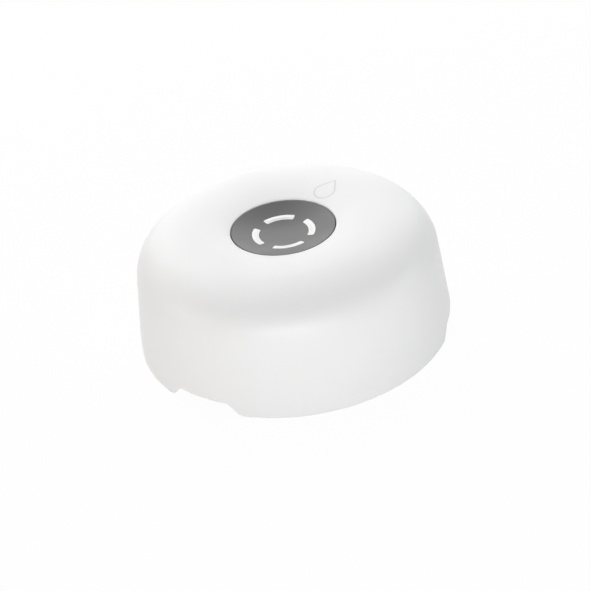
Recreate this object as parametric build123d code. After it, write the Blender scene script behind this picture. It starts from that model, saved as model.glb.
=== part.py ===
from build123d import *
import math
import os

# Round water leak sensor: a dished push-button shell over a twist-off base with three probes.
# Millimetres, +Z up, origin on the floor at the centre, +Y towards the water-drop mark.

# Cells and the cradle that holds them
cell_radius = 5.25
cell_length = 44.5
cell_nub_radius = 1.9
cell_nub_height = 0.8
cell_spacing = 12.1
cell_clearance = 0.25
cell_shift = 1.5
contact_room = 1.75
contact_thickness = 0.4
contact_plate_size = 7.2
contact_tail_width = 1.8
cradle_wall = 1.2
cradle_roof = 1.1
cradle_corner_radius = 1.6

# Base cover, its bayonet and its gasket
base_recess = 3.0
cover_thickness = 1.8
cover_coin_slot_length = 18.0
cover_coin_slot_width = 2.4
cover_coin_slot_depth = 1.2
cover_pad_radius = 12.0
cover_pad_height = 0.5
lug_reach = 1.3
lug_thickness = 1.2
lug_spread = 11.0
ledge_thickness = 1.2
ledge_overhang = 3.0
stop_spread = 2.0
stop_gap = 0.6
gasket_height = 1.4
gasket_groove_depth = 0.4
seal_ring_width = 3.7
seal_ring_thickness = 1.4
cell_floor_gap = 0.9

# Feet, walls and the gaps that let water in under the skirt
skirt_wall = 2.0
shell_wall = 2.2
foot_band_height = 3.2
notch_height = 2.8
notch_width = 13.1
foot_count = 3
wall_draft = 1.55
shoulder_drop = 9.45
shoulder_side_arc = 9.5
crown_width = 9.6
crown_rise = 1.5

# Board, switch and what the board carries
board_thickness = 1.2
board_edge_gap = 0.5
switch_size = 6.0
switch_height = 2.0
switch_lead_length = 1.0
switch_lead_thickness = 0.3
plunger_radius = 1.6
plunger_proud = 0.6
plunger_depth = 0.8
led_length = 2.0
led_width = 1.2
led_height = 0.7
buzzer_radius = 5.5
buzzer_height = 4.2
buzzer_hole_radius = 1.2
shield_length = 14.0
shield_width = 11.0
shield_height = 2.4
shield_sheet = 0.3
capacitor_radius = 3.15
capacitor_height = 5.0
antenna_height = 4.0
antenna_sheet = 0.4
antenna_strip = 1.4
antenna_spread = 18.0
part_gap = 0.7

# Screws that clamp cradle and board to the shell
screw_radius = 1.0
screw_head_radius = 1.9
screw_head_height = 1.3
screw_bite = 4.0
screw_drive_radius = 0.9
screw_drive_depth = 0.7
screw_inset = 5.6
screw_boss_radius = 2.9
screw_rib_width = 1.2

# Button, light guide and silicone boot
button_radius = 11.8
button_dish = 1.84
button_skin = 1.4
button_skirt_wall = 1.3
button_skirt_height = 2.3
button_flange_reach = 1.2
button_flange_height = 0.8
button_gap = 0.2
button_post_radius = 2.0
button_post_length = 1.45
button_rim_step = 0.08
button_edge_break = 0.25
key_width = 2.0
key_reach = 0.8
guide_wall = 1.8
guide_clearance = 0.3
window_radius = 6.4
window_width = 1.7
window_spread = 32.0
window_count = 4
light_plate_thickness = 1.0
light_plate_margin = 2.0
stake_radius = 0.6
boot_pad_radius = 2.6
boot_pad_thickness = 0.6
boot_web_thickness = 0.5
boot_rim_height = 2.0

# Water probes and the spring pins that pick them up
probe_inset = 3.4
probe_head_radius = 2.6
probe_floor_gap = 1.0
probe_head_edge = 1.0
probe_stem_radius = 1.2
probe_pad_radius = 1.9
probe_pad_height = 0.8
pin_barrel_radius = 1.1
pin_plunger_radius = 0.65
pin_plunger_length = 4.5

# Fits between pieces that move, and between pieces that are only assembled
turning_gap = 0.2
seal_gap = 0.05
seat_gap = 0.05
room_gap = 1.2
body_gap = 0.3

# Heights, from the floor up
cover_top = base_recess + cover_thickness
seal_ring_bottom = cover_top - gasket_groove_depth + gasket_height + seal_gap
seal_ring_top = seal_ring_bottom + seal_ring_thickness
lug_bottom = cover_top - lug_thickness
ledge_top = lug_bottom - turning_gap
ledge_bottom = ledge_top - ledge_thickness
cell_axis = cover_top + cell_floor_gap + cell_radius
cradle_bottom = seal_ring_top + turning_gap
board_bottom = cell_axis + cell_radius + cell_clearance + cradle_roof
board_top = board_bottom + board_thickness
switch_top = board_top + switch_height
plunger_top = switch_top + plunger_proud
post_bottom = plunger_top + boot_pad_thickness
dish_floor = post_bottom + button_post_length + button_skin
button_edge = dish_floor + button_dish
flange_top = button_edge - button_skirt_height
flange_bottom = flange_top - button_flange_height
housing_height = button_edge + button_rim_step + crown_rise
shoulder_height = housing_height - shoulder_drop
guide_bottom = board_top + boot_rim_height

# Radii and half widths, from the cells outwards
pocket_radius = cell_radius + cell_clearance
pack_half_length = cell_length / 2 + contact_room + cradle_wall
pack_half_width = cell_spacing / 2 + pocket_radius + cradle_wall
pack_reach = math.hypot(pack_half_length, pack_half_width + cell_shift)
seal_ring_radius = pack_reach + room_gap
foot_inner_radius = seal_ring_radius + seal_ring_width
housing_radius = foot_inner_radius + skirt_wall
shoulder_radius = housing_radius - wall_draft
lug_radius = foot_inner_radius - body_gap
cover_radius = lug_radius - lug_reach
ledge_radius = cover_radius + body_gap
gasket_inner_radius = seal_ring_radius + turning_gap
gasket_outer_radius = cover_radius - body_gap
board_radius = seal_ring_radius - board_edge_gap
screw_circle = seal_ring_radius - screw_inset
probe_circle = seal_ring_radius - probe_inset
well_radius = button_radius + button_gap
crown_radius = well_radius + crown_width
flange_radius = button_radius + button_flange_reach
guide_inner_radius = flange_radius + guide_clearance
guide_outer_radius = guide_inner_radius + guide_wall
button_skirt_inner = button_radius - button_skirt_wall
dish_sphere = (button_radius**2 + button_dish**2) / (2 * button_dish)
light_plate_radius = window_radius + window_width / 2 + light_plate_margin
light_plate_top = dish_floor - button_skin - seat_gap
light_plate_bottom = light_plate_top - light_plate_thickness

# Places round the axis, in degrees from +X
turn = 360 / foot_count
foot_angles = [90 + turn * index for index in range(foot_count)]
notch_angles = [angle + turn / 2 for angle in foot_angles]
screw_angles = [90, 235, 305]
antenna_angle = 58
capacitor_angle = 125


def polar(radius, angle):
    """Point in plan at a radius and an angle in degrees."""
    return radius * math.cos(math.radians(angle)), radius * math.sin(math.radians(angle))


def disc(radius, bottom, top, x=0.0, y=0.0):
    """Upright round solid between two heights."""
    upright = (Align.CENTER, Align.CENTER, Align.MIN)
    return Pos(x, y, bottom) * Cylinder(radius, top - bottom, align=upright)


def ring(inner, outer, bottom, top):
    """Upright round tube between two heights."""
    return disc(outer, bottom, top) - disc(inner, bottom, top)


def block(x_size, y_size, bottom, top, x=0.0, y=0.0):
    """Rectangular solid between two heights."""
    upright = (Align.CENTER, Align.CENTER, Align.MIN)
    return Pos(x, y, bottom) * Box(x_size, y_size, top - bottom, align=upright)


def turned(outline):
    """Solid of revolution about Z of a closed outline drawn as (radius, height)."""
    return revolve(make_face(Plane.XZ * outline), Axis.Z)


def ring_sector(inner, outer, bottom, top, middle, spread):
    """Stretch of a ring reaching `spread` degrees to each side of the angle `middle`."""
    section = Rectangle(outer - inner, top - bottom)
    section = Plane.XZ * Pos((inner + outer) / 2, (bottom + top) / 2) * section
    return Rot(0, 0, middle - spread) * revolve(section, Axis.Z, 2 * spread)


def wall_radius_at(height):
    """Outer radius of the drafted side wall at a height."""
    share = (height - foot_band_height) / (shoulder_height - foot_band_height)
    return housing_radius - wall_draft * share


def dish_height(radius, depth=0.0):
    """Height of the button's hollow top at a radius, or of a skin that far below it."""
    sphere = dish_sphere + depth
    return dish_floor + dish_sphere - math.sqrt(sphere**2 - radius**2)


def shoulder_arcs():
    """Centres and radii of the shoulder's side arc and crown arc, and their common angle.

    The side arc leaves the drafted wall in its own slope, the crown arc ends level, and the
    two share a tangent where they meet.
    """
    lean = math.atan(wall_draft / (shoulder_height - foot_band_height))
    side_x = shoulder_radius - shoulder_side_arc * math.cos(lean)
    side_z = shoulder_height - shoulder_side_arc * math.sin(lean)
    run = side_x - crown_radius
    drop = housing_height - side_z
    crown_arc = (run**2 + drop**2 - shoulder_side_arc**2) / (2 * (drop - shoulder_side_arc))
    crown_z = housing_height - crown_arc
    meeting = math.atan2(side_z - crown_z, run)
    side = (side_x, side_z, shoulder_side_arc)
    crown = (crown_radius, crown_z, crown_arc)
    return side, crown, lean, meeting


def arc_point(arc, angle, inset=0.0):
    """Point on an arc given as centre and radius, or that far inside it."""
    x, z, radius = arc
    return x + (radius - inset) * math.cos(angle), z + (radius - inset) * math.sin(angle)


def outside_line():
    """Outline of the shell from the foot, up the wall, over the shoulder and down to the well."""
    side, crown, lean, meeting = shoulder_arcs()
    band = (housing_radius, foot_band_height)
    start, join, top = arc_point(side, lean), arc_point(side, meeting), arc_point(crown, math.pi / 2)
    line = Polyline((housing_radius, 0), band, start)
    line += ThreePointArc(start, arc_point(side, (lean + meeting) / 2), join)
    line += ThreePointArc(join, arc_point(crown, (meeting + math.pi / 2) / 2), top)
    return line + TangentArc(top, (well_radius, button_edge + button_rim_step), tangent=(-1, 0))


def outer_form():
    """Outside of the shell as one solid, closed over the button's well."""
    rim_height = button_edge + button_rim_step
    closing = Polyline((well_radius, rim_height), (0, rim_height), (0, 0), (housing_radius, 0))
    return turned(outside_line() + closing)


def shell_section():
    """Half section of the shell: skirt, wall, shoulder, crown, well and guide tube."""
    side, crown, lean, meeting = shoulder_arcs()
    pocket = flange_top + turning_gap
    ceiling = housing_height - shell_wall
    inside = Polyline(
        (well_radius, button_edge + button_rim_step),
        (well_radius, pocket),
        (guide_inner_radius, pocket),
        (guide_inner_radius, guide_bottom),
        (guide_outer_radius, guide_bottom),
        (guide_outer_radius, ceiling - crown_rise / 2),
        arc_point(crown, math.pi / 2, shell_wall),
        arc_point(crown, (meeting + math.pi / 2) / 2, shell_wall),
        arc_point(crown, meeting, shell_wall),
        arc_point(side, (lean + meeting) / 2, shell_wall),
        arc_point(side, lean, shell_wall),
        (wall_radius_at(seal_ring_top) - shell_wall, seal_ring_top),
        (seal_ring_radius, seal_ring_top),
        (seal_ring_radius, seal_ring_bottom),
        (foot_inner_radius, seal_ring_bottom),
        (foot_inner_radius, 0),
        (housing_radius, 0),
    )
    return outside_line() + inside


def notch(angle):
    """Gap in the skirt with 45 degree ends, through which water reaches the probes."""
    reach = skirt_wall + 2 * ledge_thickness
    outline = Polygon(
        (-notch_width / 2 - 2 * notch_height, -notch_height),
        (notch_width / 2 + 2 * notch_height, -notch_height),
        (notch_width / 2, notch_height),
        (-notch_width / 2, notch_height),
        align=None,
    )
    start = (foot_inner_radius - ledge_thickness, 0, 0)
    face = Plane(origin=start, x_dir=(0, 1, 0), z_dir=(1, 0, 0)) * outline
    return Rot(0, 0, angle) * extrude(face, reach)


def bayonet_ledge(angle):
    """Ledge that a lug of the base turns onto, with the stop that ends the turn."""
    spread = lug_spread + ledge_overhang
    root = foot_inner_radius + skirt_wall / 2
    stop_start = lug_spread + stop_gap
    ledge = ring_sector(ledge_radius, root, ledge_bottom, ledge_top, angle, spread)
    stop_middle = angle + stop_start + stop_spread / 2
    stop = ring_sector(ledge_radius, root, ledge_bottom, cover_top, stop_middle, stop_spread / 2)
    return ledge + stop


def screw_boss(angle):
    """Boss hanging from the ceiling for one screw, tied to the side wall by a rib."""
    x, y = polar(screw_circle, angle)
    post = disc(screw_boss_radius, board_top, housing_height, x, y)
    reach = housing_radius - screw_circle
    rib_bottom = board_top + board_thickness
    rib = block(reach, screw_rib_width, rib_bottom, housing_height, screw_circle + reach / 2)
    return post + Rot(0, 0, angle) * rib


def upper_housing():
    """Moulded shell with its skirt, ledges, sealing ring, button well, guide tube and bosses."""
    shell = turned(shell_section())
    inside = outer_form()
    for angle in screw_angles:
        shell += screw_boss(angle) & inside
    for angle in screw_angles:
        x, y = polar(screw_circle, angle)
        shell -= disc(screw_radius - seat_gap, board_top, board_top + screw_bite + seat_gap, x, y)
    for angle in foot_angles:
        shell += bayonet_ledge(angle)
    for angle in notch_angles:
        shell -= notch(angle)
    slot_width = key_width + 2 * button_gap
    slot_reach = 2 * (flange_radius + key_reach + button_gap)
    shell -= block(slot_reach, slot_width, guide_bottom, flange_top + turning_gap)
    return shell


def window_sector(middle, clearance, bottom, top):
    """One curved light window, or the rib that fills it when the clearance is negative."""
    half = window_width / 2 + clearance
    spread = window_spread + math.degrees(clearance / window_radius)
    return ring_sector(window_radius - half, window_radius + half, bottom, top, middle, spread)


def window_angles():
    """Middles of the curved windows, between the four quarters."""
    step = 360 / window_count
    return [step / 2 + step * index for index in range(window_count)]


def button_cap():
    """Hollow-topped button with skirt, retaining flange, keys, centre post and stakes."""
    rim = (button_radius, button_edge - button_edge_break)
    dish_end = (button_radius - button_edge_break, dish_height(button_radius - button_edge_break))
    outline = TangentArc((0, dish_floor), dish_end, tangent=(1, 0))
    outline += Polyline(
        dish_end,
        rim,
        (button_radius, flange_top),
        (flange_radius, flange_top),
        (flange_radius, flange_bottom),
        (button_skirt_inner, flange_bottom),
        (button_skirt_inner, dish_height(button_skirt_inner, button_skin)),
        (button_post_radius, dish_height(button_post_radius, button_skin)),
        (button_post_radius, post_bottom),
        (0, post_bottom),
        (0, dish_floor),
    )
    cap = turned(outline)
    keys = block(2 * (flange_radius + key_reach), key_width, flange_bottom, flange_top)
    cap += keys - disc(button_radius, flange_bottom, flange_top)
    for angle in window_angles():
        cap -= window_sector(angle, 0.0, post_bottom, button_edge)
    stake_root = dish_height(window_radius, button_skin / 2)
    for x, y in stake_places():
        cap += disc(stake_radius, light_plate_bottom - stake_radius / 2, stake_root, x, y)
    return cap


def stake_places():
    """Four heat-staked pegs, in the gaps between the windows."""
    step = 360 / window_count
    return [polar(window_radius, step * index) for index in range(window_count)]


def light_guide():
    """Milky plate staked under the button, with a rib standing flush in each window."""
    hole = boot_pad_radius + turning_gap
    plate = ring(hole, light_plate_radius, light_plate_bottom, light_plate_top)
    for x, y in stake_places():
        plate -= disc(stake_radius + seat_gap, light_plate_bottom, light_plate_top, x, y)
    outline = TangentArc((0, dish_floor), (button_radius, button_edge), tangent=(1, 0))
    below = light_plate_bottom
    outline += Polyline((button_radius, button_edge), (button_radius, below), (0, below), (0, dish_floor))
    under_dish = turned(outline)
    for angle in window_angles():
        plate += window_sector(angle, -seat_gap, light_plate_bottom, button_edge) & under_dish
    return plate


def button_boot():
    """Silicone boot: rim clamped on the board, cone-shaped web and a pad over the switch."""
    rim_inner = guide_inner_radius
    outline = Polyline(
        (0, plunger_top),
        (boot_pad_radius, plunger_top),
        (rim_inner, guide_bottom - boot_web_thickness),
        (rim_inner, board_top),
        (guide_outer_radius, board_top),
        (guide_outer_radius, guide_bottom),
        (rim_inner, guide_bottom),
        (boot_pad_radius, plunger_top + boot_web_thickness),
        (boot_pad_radius, post_bottom),
        (0, post_bottom),
        (0, plunger_top),
    )
    return turned(outline)


def circuit_board():
    """Round board with screw holes, clamped between the cradle and the shell's bosses."""
    board = disc(board_radius, board_bottom, board_top)
    for angle in screw_angles:
        x, y = polar(screw_circle, angle)
        board -= disc(screw_radius + turning_gap, board_bottom, board_top, x, y)
    return board


def tact_switch():
    """Square switch body with a bore for its plunger and four soldered leads."""
    body = block(switch_size, switch_size, board_top, switch_top)
    body = chamfer(body.edges().filter_by(Axis.Z), switch_lead_thickness)
    body -= disc(plunger_radius + seat_gap, switch_top - 2 * plunger_depth, switch_top)
    lead_top = board_top + switch_lead_thickness
    for x in (-switch_size / 4, switch_size / 4):
        body += block(switch_lead_length, switch_size + 2 * switch_lead_length, board_top, lead_top, x)
    return body


def switch_plunger():
    """Round plunger of the switch, under the pad of the boot."""
    return disc(plunger_radius, switch_top - plunger_depth, plunger_top)


def status_leds():
    """Small light sources on the board, one under each window."""
    chips = []
    for angle in window_angles():
        chip = block(led_width, led_length, board_top, board_top + led_height, window_radius)
        chips.append(Rot(0, 0, angle) * chip)
    return Compound(chips)


def buzzer():
    """Round sounder with a hole in its lid, beside the guide tube."""
    middle = guide_outer_radius + part_gap + buzzer_radius
    can = disc(buzzer_radius, board_top, board_top + buzzer_height, -middle)
    can = chamfer(can.edges().group_by(Axis.Z)[-1], board_thickness / 3)
    return can - disc(buzzer_hole_radius, board_top + buzzer_height / 2, board_top + buzzer_height, -middle)


def radio_shield():
    """Drawn sheet can over the radio part of the board."""
    middle = guide_outer_radius + part_gap + shield_width / 2
    can = block(shield_width, shield_length, board_top, board_top + shield_height, middle)
    can = fillet(can.edges().filter_by(Axis.Z), 2 * shield_sheet)
    top = board_top + shield_height - shield_sheet
    inner = (shield_width - 2 * shield_sheet, shield_length - 2 * shield_sheet)
    return can - block(*inner, board_top, top, middle)


def supply_capacitor():
    """Upright can capacitor with its square foot."""
    x, y = polar(guide_outer_radius + part_gap + capacitor_radius * math.sqrt(2), capacitor_angle)
    foot = block(2 * capacitor_radius, 2 * capacitor_radius, board_top, board_top + led_height)
    can = disc(capacitor_radius, board_top + led_height, board_top + capacitor_height)
    can = chamfer(can.edges().group_by(Axis.Z)[-1], shield_sheet)
    return Pos(x, y) * Rot(0, 0, capacitor_angle) * (foot + can)


def antenna():
    """Bent strip that follows the board's edge on two legs."""
    outer = board_radius - part_gap - screw_radius
    inner = outer - antenna_sheet
    top = board_top + antenna_height
    leg = math.degrees(antenna_strip / outer) / 2
    strip = ring_sector(inner, outer, top - antenna_strip, top, antenna_angle, antenna_spread)
    for side in (leg - antenna_spread, leg - antenna_spread / 2):
        strip += ring_sector(inner, outer, board_top, top - antenna_strip / 2, antenna_angle + side, leg)
    return strip


def cell_places():
    """Middle of each cell in Y, and the X direction that its positive end faces."""
    return [(cell_spacing / 2 - cell_shift, 1), (-cell_spacing / 2 - cell_shift, -1)]


def cell(place):
    """Round cell lying along X, with its positive nub at one end."""
    y, facing = place
    body_length = cell_length - cell_nub_height
    body = Cylinder(cell_radius, body_length)
    body = chamfer(body.edges().filter_by(GeomType.CIRCLE), cell_nub_height / 2)
    nub = Pos(0, 0, body_length / 2) * Cylinder(cell_nub_radius, 2 * cell_nub_height)
    upright = Pos(0, 0, -cell_nub_height / 2) * (body + nub)
    return Pos(0, y, cell_axis) * Rot(0, 90 * facing, 0) * upright


def battery_rear():
    """Cell nearer the drop mark, positive end towards +X."""
    return cell(cell_places()[0])


def battery_front():
    """Cell further from the drop mark, positive end towards -X."""
    return cell(cell_places()[1])


def screw_ear(angle):
    """Ear of the cradle that one screw clamps, with its hole."""
    x, y = polar(screw_circle, angle)
    root = math.copysign(pack_half_width - cradle_wall, y) - cell_shift
    level = (board_bottom - cradle_roof, board_bottom)
    arm = block(2 * screw_boss_radius, abs(y - root), *level, x, (y + root) / 2)
    return arm + disc(screw_boss_radius, *level, x, y)


def battery_cradle():
    """Cradle open below: two round-roofed troughs, end slots for contacts and three ears."""
    size = (2 * pack_half_length, 2 * pack_half_width)
    body = block(*size, cradle_bottom, board_bottom, 0, -cell_shift)
    body = fillet(body.edges().filter_by(Axis.Z), cradle_corner_radius)
    pocket_length = cell_length + 2 * contact_room
    for y, facing in cell_places():
        trough = Pos(0, y, cell_axis) * Rot(0, 90, 0) * Cylinder(pocket_radius, pocket_length)
        mouth = block(pocket_length, 2 * pocket_radius, cradle_bottom, cell_axis, 0, y)
        body -= trough + mouth
        tail = block(2 * contact_thickness, contact_tail_width + 2 * turning_gap, cell_axis, board_bottom)
        body -= Pos(contact_thickness - pocket_length / 2, y) * tail
    bridge = contact_thickness + 2 * turning_gap
    half = contact_plate_size / 2 + turning_gap
    link = block(bridge, cell_spacing, cradle_bottom, cell_axis + half)
    body -= Pos(pocket_length / 2 - bridge / 2, -cell_shift) * link
    for angle in screw_angles:
        body += screw_ear(angle)
    for angle in screw_angles:
        x, y = polar(screw_circle, angle)
        body -= disc(screw_radius + turning_gap, board_bottom - cradle_roof, board_bottom, x, y)
    return body


def contact_plate(y, side):
    """Square contact plate standing against one end wall of the cradle."""
    x = side * (cell_length / 2 + contact_room - seat_gap - contact_thickness / 2)
    half = contact_plate_size / 2
    return block(contact_thickness, contact_plate_size, cell_axis - half, cell_axis + half, x, y)


def contact_bump(y, side, positive):
    """Pressed dome for a nub, or a wider bowed leaf for the flat end of a cell."""
    start = cell_length / 2 + seat_gap
    reach = contact_room - 2 * seat_gap - contact_thickness / 2
    foot_radius = cell_nub_radius if positive else contact_plate_size / 2 - contact_thickness
    cone = Cone(foot_radius, cell_nub_radius / 2, reach, align=(Align.CENTER, Align.CENTER, Align.MAX))
    return Pos(side * start, y, cell_axis) * Rot(0, -90 * side, 0) * cone


def contact_tail(y, side):
    """Solder tail from a plate up to the board."""
    x = side * (cell_length / 2 + contact_room - seat_gap - contact_thickness / 2)
    return block(contact_thickness, contact_tail_width, cell_axis, board_bottom, x, y)


def cell_bridge():
    """Joins the positive end of the rear cell to the negative end of the front cell."""
    rear, front = cell_places()
    bridge = contact_plate(rear[0], 1) + contact_plate(front[0], 1)
    x = cell_length / 2 + contact_room - seat_gap - contact_thickness / 2
    low, high = cell_axis - contact_plate_size / 4, cell_axis + contact_plate_size / 4
    bridge += block(contact_thickness, cell_spacing, low, high, x, -cell_shift)
    return bridge + contact_bump(rear[0], 1, True) + contact_bump(front[0], 1, False)


def positive_contact():
    """Takes the positive end of the front cell up to the board."""
    y = cell_places()[1][0]
    return contact_plate(y, -1) + contact_tail(y, -1) + contact_bump(y, -1, True)


def negative_contact():
    """Takes the negative end of the rear cell up to the board."""
    y = cell_places()[0][0]
    return contact_plate(y, -1) + contact_tail(y, -1) + contact_bump(y, -1, False)


def board_screws():
    """Pan-head screws from below, through ear and board into the shell's bosses."""
    screws = []
    head_top = board_bottom - cradle_roof
    head_bottom = head_top - screw_head_height
    for angle in screw_angles:
        x, y = polar(screw_circle, angle)
        head = disc(screw_head_radius, head_bottom, head_top)
        head = chamfer(head.edges().group_by(Axis.Z)[0], screw_head_height / 3)
        head -= disc(screw_drive_radius, head_bottom, head_bottom + screw_drive_depth)
        shank = disc(screw_radius - 2 * seat_gap, head_top, board_top + screw_bite)
        screws.append(Pos(x, y) * (head + shank))
    return Compound(screws)


def base_cover():
    """Twist-off base: disc with lugs, gasket groove, coin slot and a pad behind the slot."""
    cover = disc(cover_radius, base_recess, cover_top)
    cover = chamfer(cover.edges().group_by(Axis.Z)[0], cover_thickness / 4)
    for angle in foot_angles:
        cover += ring_sector(cover_radius - lug_reach, lug_radius, lug_bottom, cover_top, angle, lug_spread)
    groove_bottom = cover_top - gasket_groove_depth
    cover -= ring(gasket_inner_radius - seat_gap, gasket_outer_radius + seat_gap, groove_bottom, cover_top)
    cover += disc(cover_pad_radius, cover_top, cover_top + cover_pad_height)
    slot = SlotOverall(cover_coin_slot_length, cover_coin_slot_width)
    cover -= extrude(Pos(0, 0, base_recess) * slot, cover_coin_slot_depth)
    for angle in notch_angles:
        x, y = polar(probe_circle, angle)
        cover -= disc(probe_stem_radius, base_recess, cover_top, x, y)
    return cover


def base_gasket():
    """Flat rubber ring in the groove of the base, under the shell's sealing ring."""
    bottom = cover_top - gasket_groove_depth
    gasket = ring(gasket_inner_radius, gasket_outer_radius, bottom, bottom + gasket_height)
    return chamfer(gasket.edges().group_by(Axis.Z)[-1], gasket_groove_depth / 2)


def water_probes():
    """Domed contact pins through the base, one behind each gap in the skirt."""
    probes = []
    head_height = base_recess - probe_floor_gap
    for angle in notch_angles:
        x, y = polar(probe_circle, angle)
        edge = (probe_head_radius, base_recess - probe_head_edge)
        outline = TangentArc((0, probe_floor_gap), edge, tangent=(1, 0))
        outline += Polyline(
            edge,
            (probe_head_radius, base_recess),
            (probe_stem_radius, base_recess),
            (probe_stem_radius, cover_top),
            (probe_pad_radius, cover_top),
            (probe_pad_radius, cover_top + probe_pad_height),
            (0, cover_top + probe_pad_height),
            (0, base_recess - head_height),
        )
        probes.append(Pos(x, y) * turned(outline))
    return Compound(probes)


def probe_pins():
    """Spring pins under the board that press on the inner ends of the probes."""
    pins = []
    tip = cover_top + probe_pad_height + seal_gap
    for angle in notch_angles:
        x, y = polar(probe_circle, angle)
        plunger = disc(pin_plunger_radius, tip, tip + pin_plunger_length + pin_barrel_radius)
        plunger = chamfer(plunger.edges().group_by(Axis.Z)[0], pin_plunger_radius / 2)
        barrel = disc(pin_barrel_radius, tip + pin_plunger_length, board_bottom)
        pins.append(Pos(x, y) * (barrel + plunger))
    return Compound(pins)


pieces = [
    upper_housing,
    button_cap,
    light_guide,
    button_boot,
    circuit_board,
    tact_switch,
    switch_plunger,
    status_leds,
    buzzer,
    radio_shield,
    supply_capacitor,
    antenna,
    battery_cradle,
    battery_rear,
    battery_front,
    cell_bridge,
    positive_contact,
    negative_contact,
    board_screws,
    base_cover,
    base_gasket,
    water_probes,
    probe_pins,
]

os.makedirs("parts", exist_ok=True)
for piece in pieces:
    export_step(piece(), f"parts/{piece.__name__}.step")
print(f"outside: radius {housing_radius:.2f}, height {housing_height:.2f}")
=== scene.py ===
"""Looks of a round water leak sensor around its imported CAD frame.

A white moulded shell with a dished dark button on top, a ring of four light windows in the
button, a printed water drop beside it, and a twist-off base with three gold-plated probes.
Sizes in the classes below are millimetres, and angles are degrees where nothing says radians.
Meshes are in metres, origin on the floor, +Z up.
"""

import sys
import logging
import math
from collections.abc import Iterable, Sequence
from dataclasses import dataclass, field
from enum import Enum
from typing import Any

import bmesh
import bpy
import numpy as np
from mathutils import Matrix, Vector


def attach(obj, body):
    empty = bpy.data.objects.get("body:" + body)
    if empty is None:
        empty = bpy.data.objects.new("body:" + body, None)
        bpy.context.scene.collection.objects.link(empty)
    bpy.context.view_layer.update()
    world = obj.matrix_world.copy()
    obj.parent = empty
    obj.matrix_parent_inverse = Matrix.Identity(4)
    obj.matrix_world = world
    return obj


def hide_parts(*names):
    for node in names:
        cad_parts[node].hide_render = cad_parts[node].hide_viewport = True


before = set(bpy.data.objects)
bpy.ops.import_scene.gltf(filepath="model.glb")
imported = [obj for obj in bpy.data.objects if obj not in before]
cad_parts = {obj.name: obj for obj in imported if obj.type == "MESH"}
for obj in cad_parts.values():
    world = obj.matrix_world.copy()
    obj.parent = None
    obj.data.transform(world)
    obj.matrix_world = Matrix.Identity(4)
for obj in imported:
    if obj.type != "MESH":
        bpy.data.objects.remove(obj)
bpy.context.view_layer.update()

MM = 0.001
FOOT_ANGLES = (90.0, 210.0, 330.0)
NOTCH_ANGLES = (30.0, 150.0, 270.0)
KEY_ANGLES = (0.0, 180.0)
SHARP_ANGLE = math.radians(38)
# Radius of the pinhole that is left at the axis and closed with a fan of faces.
PINHOLE = 0.02
# Share of a rounding at which one point stands for its whole curve.
CURVE_CUT = 0.3
# Degrees from one ring of a bar to the next.
BAR_STEP = 3.0
# Sockets of the mix node in its colour form, where several share one name.
MIX_SHARE, MIX_FIRST, MIX_SECOND, MIX_RESULT = 0, 6, 7, 2

log = logging.getLogger("leak_sensor")

# A point of a section is (radius from the axis, height), and a corner also has its rounding.
Point = tuple[float, float]
Corner = tuple[float, float, float]
Section = list[Point]
# A stretch of columns is (start, end, step) in degrees.
Stretch = tuple[float, float, float]
# A ring has one row of X, Y and Z for each column.
Ring = np.ndarray
Tree = bpy.types.NodeTree
Socket = bpy.types.NodeSocket


class Body(Enum):
    """Bodies of the frame that pieces ride on."""

    HOUSING = "housing"
    BUTTON = "button"
    BASE = "base"


class Slot(Enum):
    """Material slots of the record."""

    WHITE_SHELL = "white_shell"
    DARK_BUTTON = "dark_button"
    MILKY_GUIDE = "milky_light_guide"
    GOLD_PROBE = "gold_probe"


class Lay(Enum):
    """Way that the lines of a worked metal run: how much closer they are along X, Y and Z."""

    ROLLED = (1.0, 12.0, 12.0)
    TURNED = (6.0, 6.0, 1.0)


# Colour and node helpers


def linear(colour: str) -> tuple[float, float, float, float]:
    """Turns an sRGB hex colour to linear.

    Args:
        colour: Colour written as "#RRGGBB".

    Returns:
        Linear red, green and blue, and an alpha of 1.
    """
    parts = [int(colour[start : start + 2], 16) / 255 for start in (1, 3, 5)]
    red, green, blue = (p / 12.92 if p <= 0.04045 else ((p + 0.055) / 1.055) ** 2.4 for p in parts)
    return red, green, blue, 1.0


def add_node(
    tree: Tree,
    kind: str,
    settings: dict[str | int, Any] | None = None,
    links: dict[str | int, Socket] | None = None,
) -> bpy.types.Node:
    """Adds one node, sets its values and joins its inputs.

    Args:
        tree: Node tree that gets the node.
        kind: Blender's name for the kind of node.
        settings: Values by input name or number, or by property name.
        links: Output sockets by the name or number of the input that each feeds.

    Returns:
        The new node.
    """
    node = tree.nodes.new(kind)
    for key, value in (settings or {}).items():
        if isinstance(key, int) or key in node.inputs:
            node.inputs[key].default_value = value
        else:
            setattr(node, key, value)
    for key, source in (links or {}).items():
        tree.links.new(source, node.inputs[key])
    return node


def empty_tree(owner: bpy.types.Material | bpy.types.World) -> Tree:
    """Turns nodes on for a material or a world, and clears the ones that come with it.

    Args:
        owner: The material or world.

    Returns:
        Its node tree, without nodes.
    """
    owner.use_nodes = True
    owner.node_tree.nodes.clear()
    return owner.node_tree


def per_metre(size: float) -> float:
    """Texture scale, in repeats to the metre, of a pattern of this size in millimetres."""
    return 1 / (size * MM)


# Finishes


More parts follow.
